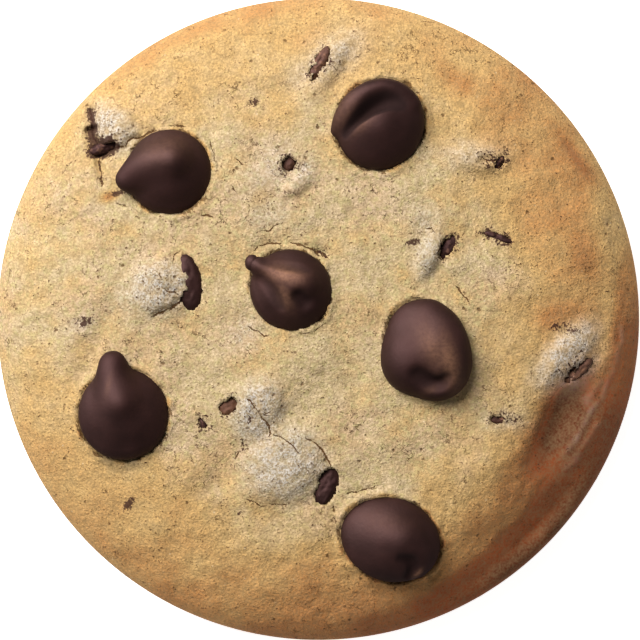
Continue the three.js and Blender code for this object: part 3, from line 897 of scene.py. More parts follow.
class MaterialMaker:
    """Adds nodes to one material and links them, with its places read in metres."""

    def __init__(self, name: str) -> None:
        """Starts a material.

        Args:
            name: The material's name.
        """
        self.material = bpy.data.materials.new(name)
        self.material.use_nodes = True
        self.tree = self.material.node_tree
        self.shader = self.tree.nodes["Principled BSDF"]
        self.place = self.tree.nodes.new("ShaderNodeTexCoord").outputs["Object"]

    def link(self, source: Socket, target: Socket) -> None:
        """Joins an output to an input."""
        self.tree.links.new(source, target)

    def noise(self, size: float, detail: float = 2.0, roughness: float = 0.55) -> Socket:
        """A noise whose bumps are about size millimetres wide.

        Args:
            size: The width of one bump.
            detail: How many finer layers it has.
            roughness: How strong the finer layers are.

        Returns:
            A value from 0 to 1.
        """
        node = self.tree.nodes.new("ShaderNodeTexNoise")
        node.inputs["Scale"].default_value = 1.0 / (size * MM)
        node.inputs["Detail"].default_value = detail
        node.inputs["Roughness"].default_value = roughness
        self.link(self.place, node.inputs["Vector"])
        return node.outputs["Fac"]

    def cells(self, size: float, wander: float = 0.0) -> tuple[Socket, Socket]:
        """Scattered points about size millimetres apart.

        Args:
            size: How far apart the points are.
            wander: How far the places are pushed about, which makes round marks ragged.

        Returns:
            The distance to the nearest point, and a colour at random for each point.
        """
        node = self.tree.nodes.new("ShaderNodeTexVoronoi")
        node.inputs["Scale"].default_value = 1.0 / (size * MM)
        self.link(self.pushed(wander) if wander else self.place, node.inputs["Vector"])
        return node.outputs["Distance"], node.outputs["Color"]

    def pushed(self, wander: float, size: float = 0.4) -> Socket:
        """The places, pushed about a little.

        Args:
            wander: How far they are pushed at most, in millimetres.
            size: How far it is from one push to the next, in millimetres.

        Returns:
            The pushed places.
        """
        push = self.tree.nodes.new("ShaderNodeTexNoise")
        push.inputs["Scale"].default_value = 1.0 / (size * MM)
        self.link(self.place, push.inputs["Vector"])
        centred = self.tree.nodes.new("ShaderNodeVectorMath")
        centred.operation = "MULTIPLY_ADD"
        self.link(push.outputs["Color"], centred.inputs[0])
        centred.inputs[1].default_value = (2.0 * wander * MM,) * 3
        centred.inputs[2].default_value = (-wander * MM,) * 3
        moved = self.tree.nodes.new("ShaderNodeVectorMath")
        moved.operation = "ADD"
        self.link(self.place, moved.inputs[0])
        self.link(centred.outputs["Vector"], moved.inputs[1])
        return moved.outputs["Vector"]

    def painted(self, paint: Paint) -> Socket:
        """A value that is kept on the vertices.

        Args:
            paint: Which value.

        Returns:
            The value.
        """
        node = self.tree.nodes.new("ShaderNodeAttribute")
        node.attribute_name = paint.value
        return node.outputs["Fac"]

    def ramp(self, value: Socket, low: float, high: float, start: float = 0.0, end: float = 1.0) -> Socket:
        """A value stretched from low..high to start..end, and held there.

        Args:
            value: What is stretched.
            low: What becomes start.
            high: What becomes end.
            start: The result at low.
            end: The result at high.

        Returns:
            The stretched value.
        """
        node = self.tree.nodes.new("ShaderNodeMapRange")
        self.link(value, node.inputs["Value"])
        for name, number in (("From Min", low), ("From Max", high), ("To Min", start), ("To Max", end)):
            node.inputs[name].default_value = number
        return node.outputs["Result"]

    def maths(self, operation: str, first: Socket, second: Socket | float) -> Socket:
        """Two values joined by one sum, such as ADD or MULTIPLY.

        Args:
            operation: The sum's name.
            first: The first value.
            second: The second value, or a number.

        Returns:
            The result.
        """
        node = self.tree.nodes.new("ShaderNodeMath")
        node.operation = operation
        self.link(first, node.inputs[0])
        if isinstance(second, float):
            node.inputs[1].default_value = second
        else:
            self.link(second, node.inputs[1])
        return node.outputs["Value"]

    def plus(self, first: Socket, second: Socket | float) -> Socket:
        """The sum of two values."""
        return self.maths("ADD", first, second)

    def times(self, first: Socket, second: Socket | float) -> Socket:
        """The product of two values."""
        return self.maths("MULTIPLY", first, second)

    def mix(self, share: Socket, first: Socket | Colour, second: Socket | Colour) -> Socket:
        """Two colours mixed.

        Args:
            share: How much of the second there is, from 0 to 1.
            first: The first colour.
            second: The second colour.

        Returns:
            The mixed colour.
        """
        node = self.tree.nodes.new("ShaderNodeMix")
        node.data_type = "RGBA"
        self.link(share, node.inputs["Factor"])
        for socket, colour in ((node.inputs[6], first), (node.inputs[7], second)):
            if isinstance(colour, tuple):
                socket.default_value = (*colour, 1.0)
            else:
                self.link(colour, socket)
        return node.outputs[2]

    def stops(self, value: Socket, colours: tuple[tuple[float, Colour], ...]) -> Socket:
        """A colour that a value picks between some stops.

        Args:
            value: A value from 0 to 1.
            colours: Where each stop is, and its colour.

        Returns:
            The colour.
        """
        node = self.tree.nodes.new("ShaderNodeValToRGB")
        ramp = node.color_ramp
        while len(ramp.elements) < len(colours):
            ramp.elements.new(0.5)
        for element, (place, colour) in zip(ramp.elements, colours):
            element.position = place
            element.color = (*colour, 1.0)
        self.link(value, node.inputs["Fac"])
        return node.outputs["Color"]

    def bump(self, height: Socket, depth: float) -> None:
        """Roughens the surface.

        Args:
            height: The height, from 0 to 1.
            depth: What a height of 1 stands for, in millimetres.
        """
        node = self.tree.nodes.new("ShaderNodeBump")
        node.inputs["Strength"].default_value = 1.0
        node.inputs["Distance"].default_value = depth * MM
        self.link(height, node.inputs["Height"])
        self.link(node.outputs["Normal"], self.shader.inputs["Normal"])


@dataclass(frozen=True)
class BakedCrust:
    """The finish of the dough: dry, sandy, pitted, browner at the rim and dusty on its mounds.

    The colours from rim_gold to deep_brown are what the crust turns as it bakes, and burnt is
    painted shade on the lower right wall. The hole colour is painted shade in pits, cracks and
    tears, and the colour of dark specks and grit; the gaps between the grains get painted shade
    too, and small painted highlights glint on the grains. Fray is how far grains carry the edge
    of a tear or a stain, as a share of it, and bump_depth is the height of the grain in
    millimetres.
    """

    pale: Colour = (0.56, 0.44, 0.275)
    golden: Colour = (0.54, 0.375, 0.18)
    rosy: Colour = (0.56, 0.405, 0.285)
    olive: Colour = (0.49, 0.41, 0.21)
    rim_gold: Colour = (0.555, 0.36, 0.152)
    toasted: Colour = (0.465, 0.235, 0.086)
    brown: Colour = (0.305, 0.112, 0.038)
    deep_brown: Colour = (0.272, 0.07, 0.021)
    # Painted shade: past deep brown, the lower right wall is painted burnt.
    burnt: Colour = (0.11, 0.033, 0.013)
    brown_mark: Colour = (0.2, 0.128, 0.066)
    dusty: Colour = (0.505, 0.465, 0.42)
    grain_glint: Colour = (0.70, 0.62, 0.47)
    hole_shade_and_specks: Colour = (0.11, 0.055, 0.02)
    chocolate: Colour = (0.06, 0.026, 0.018)
    roughness: float = 0.8
    specular: float = 0.12
    fray: float = 0.45
    bump_depth: float = 0.19

    def make(self) -> bpy.types.Material:
        """Builds the material.

        Returns:
            The finished material.
        """
        maker = MaterialMaker("sandy baked crust")
        grain = maker.noise(0.3, 2.0, 0.7)
        fine = maker.noise(0.17, 1.0)
        speckle = maker.noise(0.26, 1.0)
        gap, kind = maker.cells(0.32, 0.1)
        crumbs = maker.noise(1.1, 3.0, 0.6)
        patches = maker.noise(4.5, 3.0)
        broad = maker.noise(10.0, 2.0)
        tint = maker.noise(0.7, 2.0)

        pale = maker.mix(maker.ramp(patches, 0.42, 0.64), self.pale, self.golden)
        pale = maker.mix(maker.ramp(broad, 0.5, 0.62, 0.0, 0.5), pale, self.rosy)
        pale = maker.mix(maker.ramp(tint, 0.46, 0.66, 0.0, 0.9), pale, self.olive)
        baked = maker.plus(maker.painted(Paint.BROWNING), maker.ramp(patches, 0.3, 0.7, -0.1, 0.1))
        rim = maker.stops(baked, ((0.0, self.rim_gold), (0.32, self.rim_gold), (0.55, self.toasted),
                                  (0.82, self.brown), (1.0, self.deep_brown)))
        colour = maker.mix(maker.ramp(baked, 0.04, 0.32), pale, rim)
        # Painted shade: past 1 the brownest crust turns burnt, on the lower right wall and its dip.
        colour = maker.mix(maker.ramp(baked, 1.0, 1.35), colour, self.burnt)
        dust = maker.times(maker.painted(Paint.DUST), maker.ramp(crumbs, 0.32, 0.6, 0.45, 1.0))
        colour = maker.mix(dust, colour, self.dusty)

        mark, soft_mark, gap_shade = (self.darker(maker, baked, share) for share in (0.45, 0.5, 0.4))
        colour = maker.mix(maker.ramp(speckle, 0.36, 0.6, 0.42, 0.0), colour, mark)
        dusky = maker.times(dust, maker.ramp(speckle, 0.4, 0.47, 0.6, 0.0))
        colour = maker.mix(dusky, colour, self.shaded(0.5))
        colour = maker.mix(maker.ramp(crumbs, 0.34, 0.5, 0.3, 0.0), colour, soft_mark)
        colour = maker.mix(maker.ramp(kind, 0.3, 0.7, 0.0, 0.12), colour, soft_mark)
        # Painted shade in the gaps between the grains, which the bump also sinks.
        colour = maker.mix(maker.ramp(gap, 0.42, 0.62, 0.0, 0.22), colour, gap_shade)
        # Dark specks of grit among the grains.
        grit = maker.times(maker.ramp(grain, 0.6, 0.68, 0.0, 0.8), maker.ramp(crumbs, 0.44, 0.58))
        colour = maker.mix(grit, colour, self.hole_shade_and_specks)
        # Painted highlights: small pale glints scattered over the grains, fewer where the crust is brown.
        light = maker.times(self.scattered(maker, 0.7, 0.0, 0.2, 0.74, 0.32),
                            maker.ramp(baked, 0.3, 0.75, 1.0, 0.0))
        colour = maker.mix(light, colour, self.grain_glint)
        # Painted shade: the pits, cracks, hairline crazing and the torn gap round the chips are darkened as
        # shaded hollows, together with small dark specks.
        pits = self.scattered(maker, 1.25, 0.22, 0.2, 0.68, 0.75)
        specks = self.scattered(maker, 0.5, 0.12, 0.28, 0.78, 0.6)
        cracks = self.cracks(maker, fine, crumbs)
        marks = maker.maths("MAXIMUM", maker.maths("MAXIMUM", pits, specks), cracks)
        crazed = self.crazed(maker, 2.1, 0.6, 0.028)
        crazed = maker.times(crazed, maker.ramp(crumbs, 0.5, 0.6, 0.0, 0.6))
        crazed = maker.times(crazed, maker.ramp(broad, 0.5, 0.58))
        marks = maker.maths("MAXIMUM", marks, crazed)
        # Painted shade along the crevice paint, frayed by the grains.
        torn = maker.plus(maker.painted(Paint.CREVICE), maker.ramp(grain, 0.25, 0.75, -self.fray, self.fray))
        marks = maker.maths("MAXIMUM", marks, maker.ramp(torn, 0.4, 0.55, 0.0, 0.75))
        colour = maker.mix(marks, colour, self.hole_shade_and_specks)
        stain = maker.plus(maker.painted(Paint.STAIN), maker.ramp(grain, 0.25, 0.75, -self.fray, self.fray))
        stain = maker.plus(stain, maker.ramp(crumbs, 0.25, 0.75, -0.3, 0.3))
        colour = maker.mix(maker.ramp(stain, 0.38, 0.6, 0.0, 0.92), colour, self.chocolate)

        maker.link(colour, maker.shader.inputs["Base Color"])
        maker.shader.inputs["Roughness"].default_value = self.roughness
        maker.shader.inputs["Specular IOR Level"].default_value = self.specular
        height = maker.plus(maker.times(grain, 0.78), maker.times(crumbs, 0.55))
        height = maker.maths("SUBTRACT", height, maker.times(gap, 0.14))
        height = maker.maths("SUBTRACT", height, maker.times(marks, 0.6))
        height = maker.times(height, maker.ramp(baked, 0.7, 0.98, 1.0, 0.2))
        maker.bump(height, self.bump_depth)
        return maker.material

    def shaded(self, share: float) -> Colour:
        """The golden crust darkened to a share of its brightness."""
        return tuple(value * share for value in self.golden)

    def darker(self, maker: MaterialMaker, baked: Socket, share: float) -> Socket:
        """The colour of the small dark marks, which is deeper where the crust is brown.

        Args:
            maker: The material's maker.
            baked: How brown the crust is.
            share: How bright a mark is on the golden crust.

        Returns:
            The colour.
        """
        return maker.mix(maker.ramp(baked, 0.45, 0.8), self.shaded(share), self.brown_mark)

    @staticmethod
    def scattered(maker: MaterialMaker, apart: float, wander: float, size: float, rarity: float,
                  strength: float) -> Socket:
        """Small marks at some of many scattered points.

        Args:
            maker: The material's maker.
            apart: How far apart the points are, in millimetres.
            wander: How ragged the marks are, in millimetres.
            size: How large a mark is, as a share of the distance between points.
            rarity: The share of points that have no mark.
            strength: The value in the middle of a mark.

        Returns:
            Strength in a mark and 0 outside it.
        """
        distance, random = maker.cells(apart, wander)
        chosen = maker.ramp(random, rarity, rarity + 0.12)
        mark = maker.ramp(distance, size, size * 0.5)
        return maker.times(maker.times(chosen, mark), strength)

    @staticmethod
    def crazed(maker: MaterialMaker, apart: float, wander: float, width: float) -> Socket:
        """A net of hairline cracks.

        Args:
            maker: The material's maker.
            apart: How far apart the cracks are, in millimetres.
            wander: How ragged they are, in millimetres.
            width: How wide they are, as a share of the distance between them.

        Returns:
            1 in a crack and 0 outside it.
        """
        node = maker.tree.nodes.new("ShaderNodeTexVoronoi")
        node.feature = "DISTANCE_TO_EDGE"
        node.inputs["Scale"].default_value = 1.0 / (apart * MM)
        maker.link(maker.pushed(wander), node.inputs["Vector"])
        return maker.ramp(node.outputs["Distance"], width * 0.4, width, 1.0, 0.0)

    @staticmethod
    def cracks(maker: MaterialMaker, fine: Socket, crumbs: Socket) -> Socket:
        """The thin dark line of the cracks, painted shade that is sharp even between vertices.

        Args:
            maker: The material's maker.
            fine: Fine noise, which frays the line.
            crumbs: Coarser noise, which makes it wander.

        Returns:
            1 in a crack and 0 outside it.
        """
        offset = maker.plus(maker.painted(Paint.CRACK_OFFSET), maker.ramp(crumbs, 0.2, 0.8, -0.14, 0.14))
        offset = maker.plus(offset, maker.ramp(fine, 0.2, 0.8, -0.07, 0.07))
        away = maker.times(offset, offset)
        width = maker.times(maker.painted(Paint.CRACK_PRESENCE), 0.014)
        width = maker.times(width, maker.ramp(crumbs, 0.35, 0.6, 0.15, 1.0))
        line = maker.maths("SUBTRACT", width, away)
        return maker.ramp(line, 0.0, 0.004, 0.0, 0.95)


@dataclass(frozen=True)
class DarkChocolate:
    """The finish of the chips: satin dark chocolate with a faint dull bloom, and painted highlights
    on the faces that catch the light.

    Creased is the painted shade deep in a groove. Crease_roughness is how much rougher a groove
    is, and bump_depth is the height of the faint unevenness in millimetres.
    """

    plain: Colour = (0.015, 0.0058, 0.0048)
    dull: Colour = (0.024, 0.009, 0.0075)
    bloom_and_highlight_tan: Colour = (0.20, 0.105, 0.06)
    creased: Colour = (0.005, 0.0022, 0.002)
    sheen_tint: Colour = (1.0, 0.6, 0.57)
    roughness: float = 0.64
    crease_roughness: float = 0.3
    specular: float = 0.5
    bump_depth: float = 0.07

    def make(self) -> bpy.types.Material:
        """Builds the material.

        Returns:
            The finished material.
        """
        maker = MaterialMaker("satin dark chocolate")
        clouds = maker.noise(3.0, 3.0)
        fine = maker.noise(0.4, 2.0)
        colour = maker.mix(maker.ramp(clouds, 0.35, 0.7), self.plain, self.dull)
        # The bloom paint is the chip's dull bloom, and on some faces a painted highlight.
        bloom_and_highlight = maker.times(maker.painted(Paint.BLOOM), maker.ramp(fine, 0.3, 0.65, 0.55, 1.0))
        colour = maker.mix(bloom_and_highlight, colour, self.bloom_and_highlight_tan)
        # Painted shade: the grooves and hollows are darkened towards black.
        colour = maker.mix(maker.painted(Paint.CREVICE), colour, self.creased)
        maker.link(colour, maker.shader.inputs["Base Color"])
        cloudy = maker.ramp(clouds, 0.3, 0.7, self.roughness - 0.05, self.roughness + 0.07)
        creased = maker.times(maker.painted(Paint.CREVICE), self.crease_roughness)
        roughness = maker.plus(cloudy, creased)
        maker.link(roughness, maker.shader.inputs["Roughness"])
        maker.shader.inputs["Specular IOR Level"].default_value = self.specular
        maker.shader.inputs["Specular Tint"].default_value = (*self.sheen_tint, 1.0)
        maker.bump(maker.plus(clouds, maker.times(fine, 0.3)), self.bump_depth)
        return maker.material


@dataclass(frozen=True)
class PaleFloor:
    """The finish of the plain pale floor, a light table that glows a little."""

    colour: Colour = (0.9, 0.9, 0.89)
    roughness: float = 0.9
    glow: float = 0.85

    def make(self) -> bpy.types.Material:
        """Builds the material.

        Returns:
            The finished material.
        """
        maker = MaterialMaker("plain pale floor")
        maker.shader.inputs["Base Color"].default_value = (*self.colour, 1.0)
        maker.shader.inputs["Roughness"].default_value = self.roughness
        maker.shader.inputs["Emission Color"].default_value = (1.0, 1.0, 1.0, 1.0)
        maker.shader.inputs["Emission Strength"].default_value = self.glow
        return maker.material


@dataclass
class Dough:
    """The baked dough: a domed crust, a rounded rim and a flat underside in one mesh.

    The sizes are how wide the bumps of each kind are, and the depths how high they stand. Wander
    is how far the edges of openings and cracks stray, clearance the gap under a chip in its
    socket, and thickest_cover how deep the crust is opened over a bit at most. All are in
    millimetres, but for the numbers of points and rings. Base_gap is the share of the
    underside that its inner mesh covers, before the two are joined, and edge_browning is how
    much browner the crust is baked round a chip.
    """

    section: CrustSection = SECTION
    edge_points: int = 1100
    rim_rings: int = 9
    base_points: int = 220
    base_inset: float = 1.6
    base_gap: float = 0.985
    base_dimples: float = 0.12
    wander: float = 0.3
    wander_size: float = 1.2
    lump_size: float = 3.6
    lump_depth: float = 0.16
    dimple_size: float = 1.5
    dimple_depth: float = 0.11
    grain_size: float = 0.7
    grain_depth: float = 0.08
    crumb_size: float = 0.75
    tear_size: float = 2.4
    pit_spacing: float = 2.1
    pit_depth: float = 0.25
    dust_depth: float = 0.2
    lip_height: float = 0.3
    clearance: float = 0.12
    thickest_cover: float = 0.9
    edge_browning: float = 0.42

    def build(self, material: bpy.types.Material) -> bpy.types.Object:
        """Makes the dough.

        Args:
            material: Its finish.

        Returns:
            The finished piece.
        """
        piece = self.lay_out()
        flat = read_vertices(piece)
        points = self.drape(flat)
        points = self.sculpt(points, self.upper(flat), self.lower(flat), piece)
        write_vertices(piece, points)
        piece.data.materials.append(material)
        deselect_all()
        piece.select_set(True)
        bpy.context.view_layer.objects.active = piece
        bpy.ops.object.shade_smooth()
        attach(piece, ROOT)
        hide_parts("cookie_dough")
        return piece

    @staticmethod
    def upper(flat: Array) -> Array:
        """True for the flat mesh's vertices that become the upper crust."""
        return flat[:, 2] > -HALF_RING

    def lower(self, flat: Array) -> Array:
        """True for the flat mesh's vertices that become the underside."""
        return flat[:, 2] < -(self.rim_rings + HALF_RING)

    def lay_out(self) -> bpy.types.Object:
        """Makes the mesh flat: a unit disc, rings hanging from its edge, and an underside.

        Returns:
            The piece, with ring number n at a height of -n.
        """
        deselect_all()
        bpy.ops.mesh.primitive_circle_add(vertices=self.edge_points, radius=1.0)
        piece = bpy.context.object
        piece.name = "dough"
        bpy.ops.object.mode_set(mode="EDIT")
        bpy.ops.mesh.select_all(action="SELECT")
        bpy.ops.mesh.fill_grid(span=self.edge_points // 4)
        self.select_ring(piece, 0, self.edge_points)
        for _ in range(self.rim_rings):
            bpy.ops.mesh.extrude_edges_move(TRANSFORM_OT_translate={"value": (0.0, 0.0, -1.0)})
        inset = 1.0 - self.base_inset / (self.section.base_diameter / 2)
        bpy.ops.mesh.extrude_edges_move(TRANSFORM_OT_translate={"value": (0.0, 0.0, -1.0)})
        bpy.ops.transform.resize(value=(inset, inset, 1.0))
        bpy.ops.mesh.select_all(action="DESELECT")
        bottom = -(self.rim_rings + 1.0)
        bpy.ops.mesh.primitive_circle_add(vertices=self.base_points, radius=inset * self.base_gap,
                                          location=(0.0, 0.0, bottom))
        bpy.ops.mesh.fill_grid(span=self.base_points // 4)
        self.select_base_loops(piece, inset)
        bpy.ops.mesh.bridge_edge_loops()
        bpy.ops.mesh.select_all(action="SELECT")
        bpy.ops.mesh.normals_make_consistent(inside=False)
        bpy.ops.object.mode_set(mode="OBJECT")
        return piece

    def select_ring(self, piece: bpy.types.Object, ring: int, points: int) -> None:
        """Selects the outer ring of the disc, or one that hangs from it.

        Args:
            piece: The dough, in edit mode.
            ring: The ring's number, from 0 for the disc's own.
            points: How many points the ring has to have.
        """
        bpy.ops.object.mode_set(mode="OBJECT")
        flat = read_vertices(piece)
        bpy.ops.object.mode_set(mode="EDIT")
        out = np.hypot(flat[:, 0], flat[:, 1])
        chosen = (out > 0.99999) & (np.abs(flat[:, 2] + ring) < HALF_RING)
        if chosen.sum() != points:
            raise ValueError(f"ring {ring} has {chosen.sum()} points, not {points}")
        select_vertices(piece, chosen)

    def select_base_loops(self, piece: bpy.types.Object, inset: float) -> None:
        """Selects the two loops of the underside that are still apart.

        Args:
            piece: The dough, in edit mode.
            inset: How far out the loops lie.
        """
        bpy.ops.object.mode_set(mode="OBJECT")
        flat = read_vertices(piece)
        bpy.ops.object.mode_set(mode="EDIT")
        out = np.hypot(flat[:, 0], flat[:, 1])
        select_vertices(piece, self.lower(flat) & (out > inset * (self.base_gap - 0.0005)))

    def drape(self, flat: Array) -> Array:
        """Lays the flat mesh over the section.

        Args:
            flat: The flat mesh's vertices.

        Returns:
            Their places on the plain dome, rim and underside.
        """
        out = np.hypot(flat[:, 0], flat[:, 1])
        bearing = np.arctan2(flat[:, 1], flat[:, 0])
        line_out, line_height = self.section.top_line()
        share = np.linspace(0.0, 1.0, len(line_out))
        ring = np.clip(-flat[:, 2] / self.rim_rings, 0.0, 1.0) * math.pi / 2
        base_radius = self.section.base_diameter / 2
        rim_out = base_radius + (self.section.radius - base_radius) * np.cos(ring)
        rim_height = self.section.rim_height * (1.0 - np.sin(ring))
        on_top = self.upper(flat)
        under = self.lower(flat)
        new_out = np.where(on_top, np.interp(out, share, line_out), rim_out)
        new_out = np.where(under, out * base_radius, new_out)
        height = np.where(on_top, np.interp(out, share, line_height), rim_height)
        height = np.where(under, 0.0, height)
        return np.column_stack([new_out * np.cos(bearing), new_out * np.sin(bearing), height])

    def sculpt(self, points: Array, top: Array, underside: Array, piece: bpy.types.Object) -> Array:
        """Gives the dough its relief, sockets, cracks and pits, and paints it.

        Args:
            points: Places on the plain form.
            top: True for the vertices of the upper crust.
            underside: True for those of the underside.
            piece: The piece that the paint is kept on.

        Returns:
            The finished places.
        """
        x, y = points[:, 0].copy(), points[:, 1].copy()
        height = points[:, 2] + np.where(top, self.section.relief(x, y), 0.0)
        places = np.column_stack([x, y, height])
        wander_x = x + self.wander * noise_at(places, self.wander_size, 5.2, 2)
        wander_y = y + self.wander * noise_at(places, self.wander_size, 9.4, 2)

        lumps = noise_at(places, self.lump_size, 3.7, 2)
        dimples = noise_at(places, self.dimple_size, 1.9, 2)
        grains = noise_at(places, self.grain_size, 7.3, 2)
        browning = self.browning(places, underside)
        smooth_wall = smoothstep(browning, 0.75, 1.0)
        rough = self.lump_depth * lumps + self.dimple_depth * dimples + self.grain_depth * grains
        rough *= 1.0 - 0.75 * smooth_wall
        rough -= self.pit_depth * self.pits(places) * (1.0 - smooth_wall)
        dust = self.painted_places(DUSTY_PLACES, wander_x, wander_y)
        rough += dust * (self.dust_depth * noise_at(places, self.crumb_size, 4.4, 2) + 0.05)
        for fold in FOLDS:
            away, along = fold.offset(x + 0.6 * lumps, y)
            crest = np.exp(-(away / fold.width) ** 2) * smoothstep(along, 0.0, 1.6)
            rough += fold.height * crest
            dust = np.maximum(dust, fold.dust * crest * (0.6 + 0.8 * dimples))

        stain = self.painted_places(SMUDGES, wander_x, wander_y)
        crack_offset = np.full(len(x), NO_CRACK)
        crack_presence = np.zeros(len(x))
        for crack in CRACKS:
            away, along = crack.offset(wander_x, wander_y)
            here = smoothstep(along, 0.0, 0.6)
            if crack.broken:
                here = here * smoothstep(dimples + 0.25 * grains, crack.broken - 0.55, crack.broken - 0.25)
            valley = np.exp(-(away / (crack.width + 0.14)) ** 2) * here
            rough -= crack.depth * valley
            stain = np.maximum(stain, crack.chocolate * valley)
            presence = here * (1.0 - smoothstep(np.abs(away), 0.4, 0.7)) * min(1.0, crack.width / 0.17)
            nearer = (np.abs(away) < np.abs(crack_offset)) & (np.abs(away) < 0.75)
            crack_offset = np.where(nearer, away, crack_offset)
            crack_presence = np.where(nearer, presence, crack_presence)
        rim_fade = 1.0 - 0.5 * smoothstep(np.hypot(x, y) / self.section.radius, 0.94, 1.0)
        height = height + np.where(top, rough * rim_fade, 0.0)

        # The crevice paint starts with the dark specks of crumbly places; painted shade in the tears and
        # openings joins it below.
        crevice = self.painted_places(SPECKLED_PLACES, wander_x, wander_y)
        crumbs = noise_at(places, self.crumb_size, 6.6, 2)
        tears = noise_at(places, self.tear_size, 8.8, 2)
        for chip in CHIPS:
            height = self.seat(chip, x, y, wander_x, wander_y, height, top)
            ragged, _ = chip.outside(wander_x, wander_y)
            toasted = np.exp(-((ragged - 0.18) / 0.22) ** 2) * smoothstep(dimples, 0.0, 0.45)
            browning = browning + self.edge_browning * toasted
            torn, _ = chip.outside(x + 0.45 * grains, y + 0.4 * crumbs)
            # Painted shade: a dark ragged line in the torn gap where the crust meets the chip, which is also
            # dug a little lower.
            tear = np.exp(-((torn - 0.16) / 0.2) ** 2) * smoothstep(tears, -0.12, 0.2)
            crevice = np.maximum(crevice, 0.9 * tear)
            crumbly = np.exp(-((torn - 0.4) / 0.6) ** 2) * (torn > -0.3)
            height = height + np.where(top, crumbly * (0.16 * grains + 0.2 * crumbs) - 0.25 * tear, 0.0)
        for bit in BITS:
            height, dark, mark = self.open_over(bit, x, y, wander_x, wander_y, height, crumbs, top)
            crevice = np.maximum(crevice, dark)
            stain = np.maximum(stain, mark)

        write_paint(piece, Paint.BROWNING, np.clip(browning, 0.0, MOST_BROWN))
        for paint, values in ((Paint.DUST, dust), (Paint.CREVICE, crevice), (Paint.STAIN, stain),
                              (Paint.CRACK_PRESENCE, crack_presence)):
            write_paint(piece, paint, np.where(top, np.clip(values, 0.0, 1.0), 0.0))
        write_paint(piece, Paint.CRACK_OFFSET, np.where(top, crack_offset, NO_CRACK))

        swollen = 1.0 + np.where(top | underside, 0.0, 0.0022 * lumps + 0.0012 * dimples)
        height = np.where(underside, self.base_dimples * np.clip(dimples, 0.0, 1.0), height)
        return np.column_stack([x * swollen, y * swollen, height])

    def pits(self, places: Array) -> Array:
        """How deep in a pit each place is, with pits scattered unevenly.

        Args:
            places: Places on the dough.

        Returns:
            One value for each place, from 0 to 1.
        """
        depths = []
        for place in (places / self.pit_spacing).tolist():
            distances, centres = noise.voronoi(Vector(place))
            chance = noise.cell(centres[0] * 7.0)
            width = 0.1 + 0.14 * max(0.0, chance)
            depths.append(max(0.0, 1.0 - distances[0] / width) if chance > 0.1 else 0.0)
        return np.array(depths)

    @staticmethod
    def painted_places(places: tuple[Swell, ...], x: Array, y: Array) -> Array:
        """The strongest of some oval places at each point.

        Args:
            places: The oval places.
            x: Points along X.
            y: Points along Y.

        Returns:
            One value for each point, from 0 to 1.
        """
        amount = np.zeros(len(x))
        for place in places:
            amount = np.maximum(amount, place.height_at(x, y))
        return amount

    def seat(self, chip: ChipForm, x: Array, y: Array, wander_x: Array, wander_y: Array, height: Array,
             top: Array) -> Array:
        """Cuts a chip's socket, with a torn lip round it.

        Args:
            chip: The chip.
            x: Places along X.
            y: Places along Y.
            wander_x: The same, wandering a little.
            wander_y: The same, wandering a little.
            height: The crust so far.
            top: True for the vertices of the upper crust.

        Returns:
            The new height.
        """
        near = top & (np.hypot(x - chip.x, y - chip.y) < chip.length)
        new_height = height.copy()
        outside, share = chip.outside(x[near], y[near])
        ragged, _ = chip.outside(wander_x[near], wander_y[near])
        lip = self.lip_height * np.exp(-((ragged - 0.35) / 0.45) ** 2)
        gap = 0.3 * np.exp(-(np.clip(ragged, 0.0, None) / 0.13) ** 2) * (outside > -0.35)
        bowl = chip.middle[2] - 0.5 * chip.height * np.sqrt(np.clip(1.0 - share**2, 0.0, 1.0))
        bowl -= self.clearance
        seated = height[near] + np.where(outside > 0.0, lip, 0.0) - gap
        new_height[near] = np.where(outside < -0.5, np.minimum(seated, bowl), seated)
        return new_height

    def open_over(self, bit: BitForm, x: Array, y: Array, wander_x: Array, wander_y: Array, height: Array,
                  crumbs: Array, top: Array) -> tuple[Array, Array, Array]:
        """Opens the crust over a sunken bit, with a ragged edge.

        Args:
            bit: The bit.
            x: Places along X.
            y: Places along Y.
            wander_x: The same, wandering a little.
            wander_y: The same, wandering a little.
            height: The crust so far.
            crumbs: Noise for the crumbs that stay on the bit.
            top: True for the vertices of the upper crust.

        Returns:
            The new height, how much painted shade each place has where the opening is deep, and how
            stained with chocolate.
        """
        near = top & (np.hypot(x - bit.x, y - bit.y) < bit.length + 3.0)
        new_height = height.copy()
        dark = np.zeros(len(x))
        stain = np.zeros(len(x))
        edge = bit.inside(wander_x[near], wander_y[near], bit.margin) + (bit.covered + 0.12) * crumbs[near]
        share = bit.inside(x[near], y[near])
        opening = (edge < 1.0) & (share < 0.9)
        if bit.cover:
            covering = bit.cover.amount(wander_x[near], wander_y[near]) + 0.2 * crumbs[near]
            opening &= covering < math.exp(-1.0)
        bowl = bit.top - 0.5 * bit.height * (1.0 + np.sqrt(np.clip(1.0 - share**2, 0.0, 1.0))) - 0.1
        ledge = np.maximum(bit.top - 0.3 * bit.height, height[near] - self.thickest_cover)
        floor = np.where(share < 0.8, np.minimum(ledge, bowl), ledge)
        opened = np.where(opening, np.minimum(floor, height[near]), height[near])
        new_height[near] = opened
        # Painted shade: the crust is darkened where the opening is deep.
        dark[near] = smoothstep(height[near] - opened, 0.3, 0.8) * 0.14
        reach = bit.inside(wander_x[near], wander_y[near], 0.7)
        stain[near] = bit.stain * (1.0 - smoothstep(reach, 0.6, 1.15))
        return new_height, dark, stain

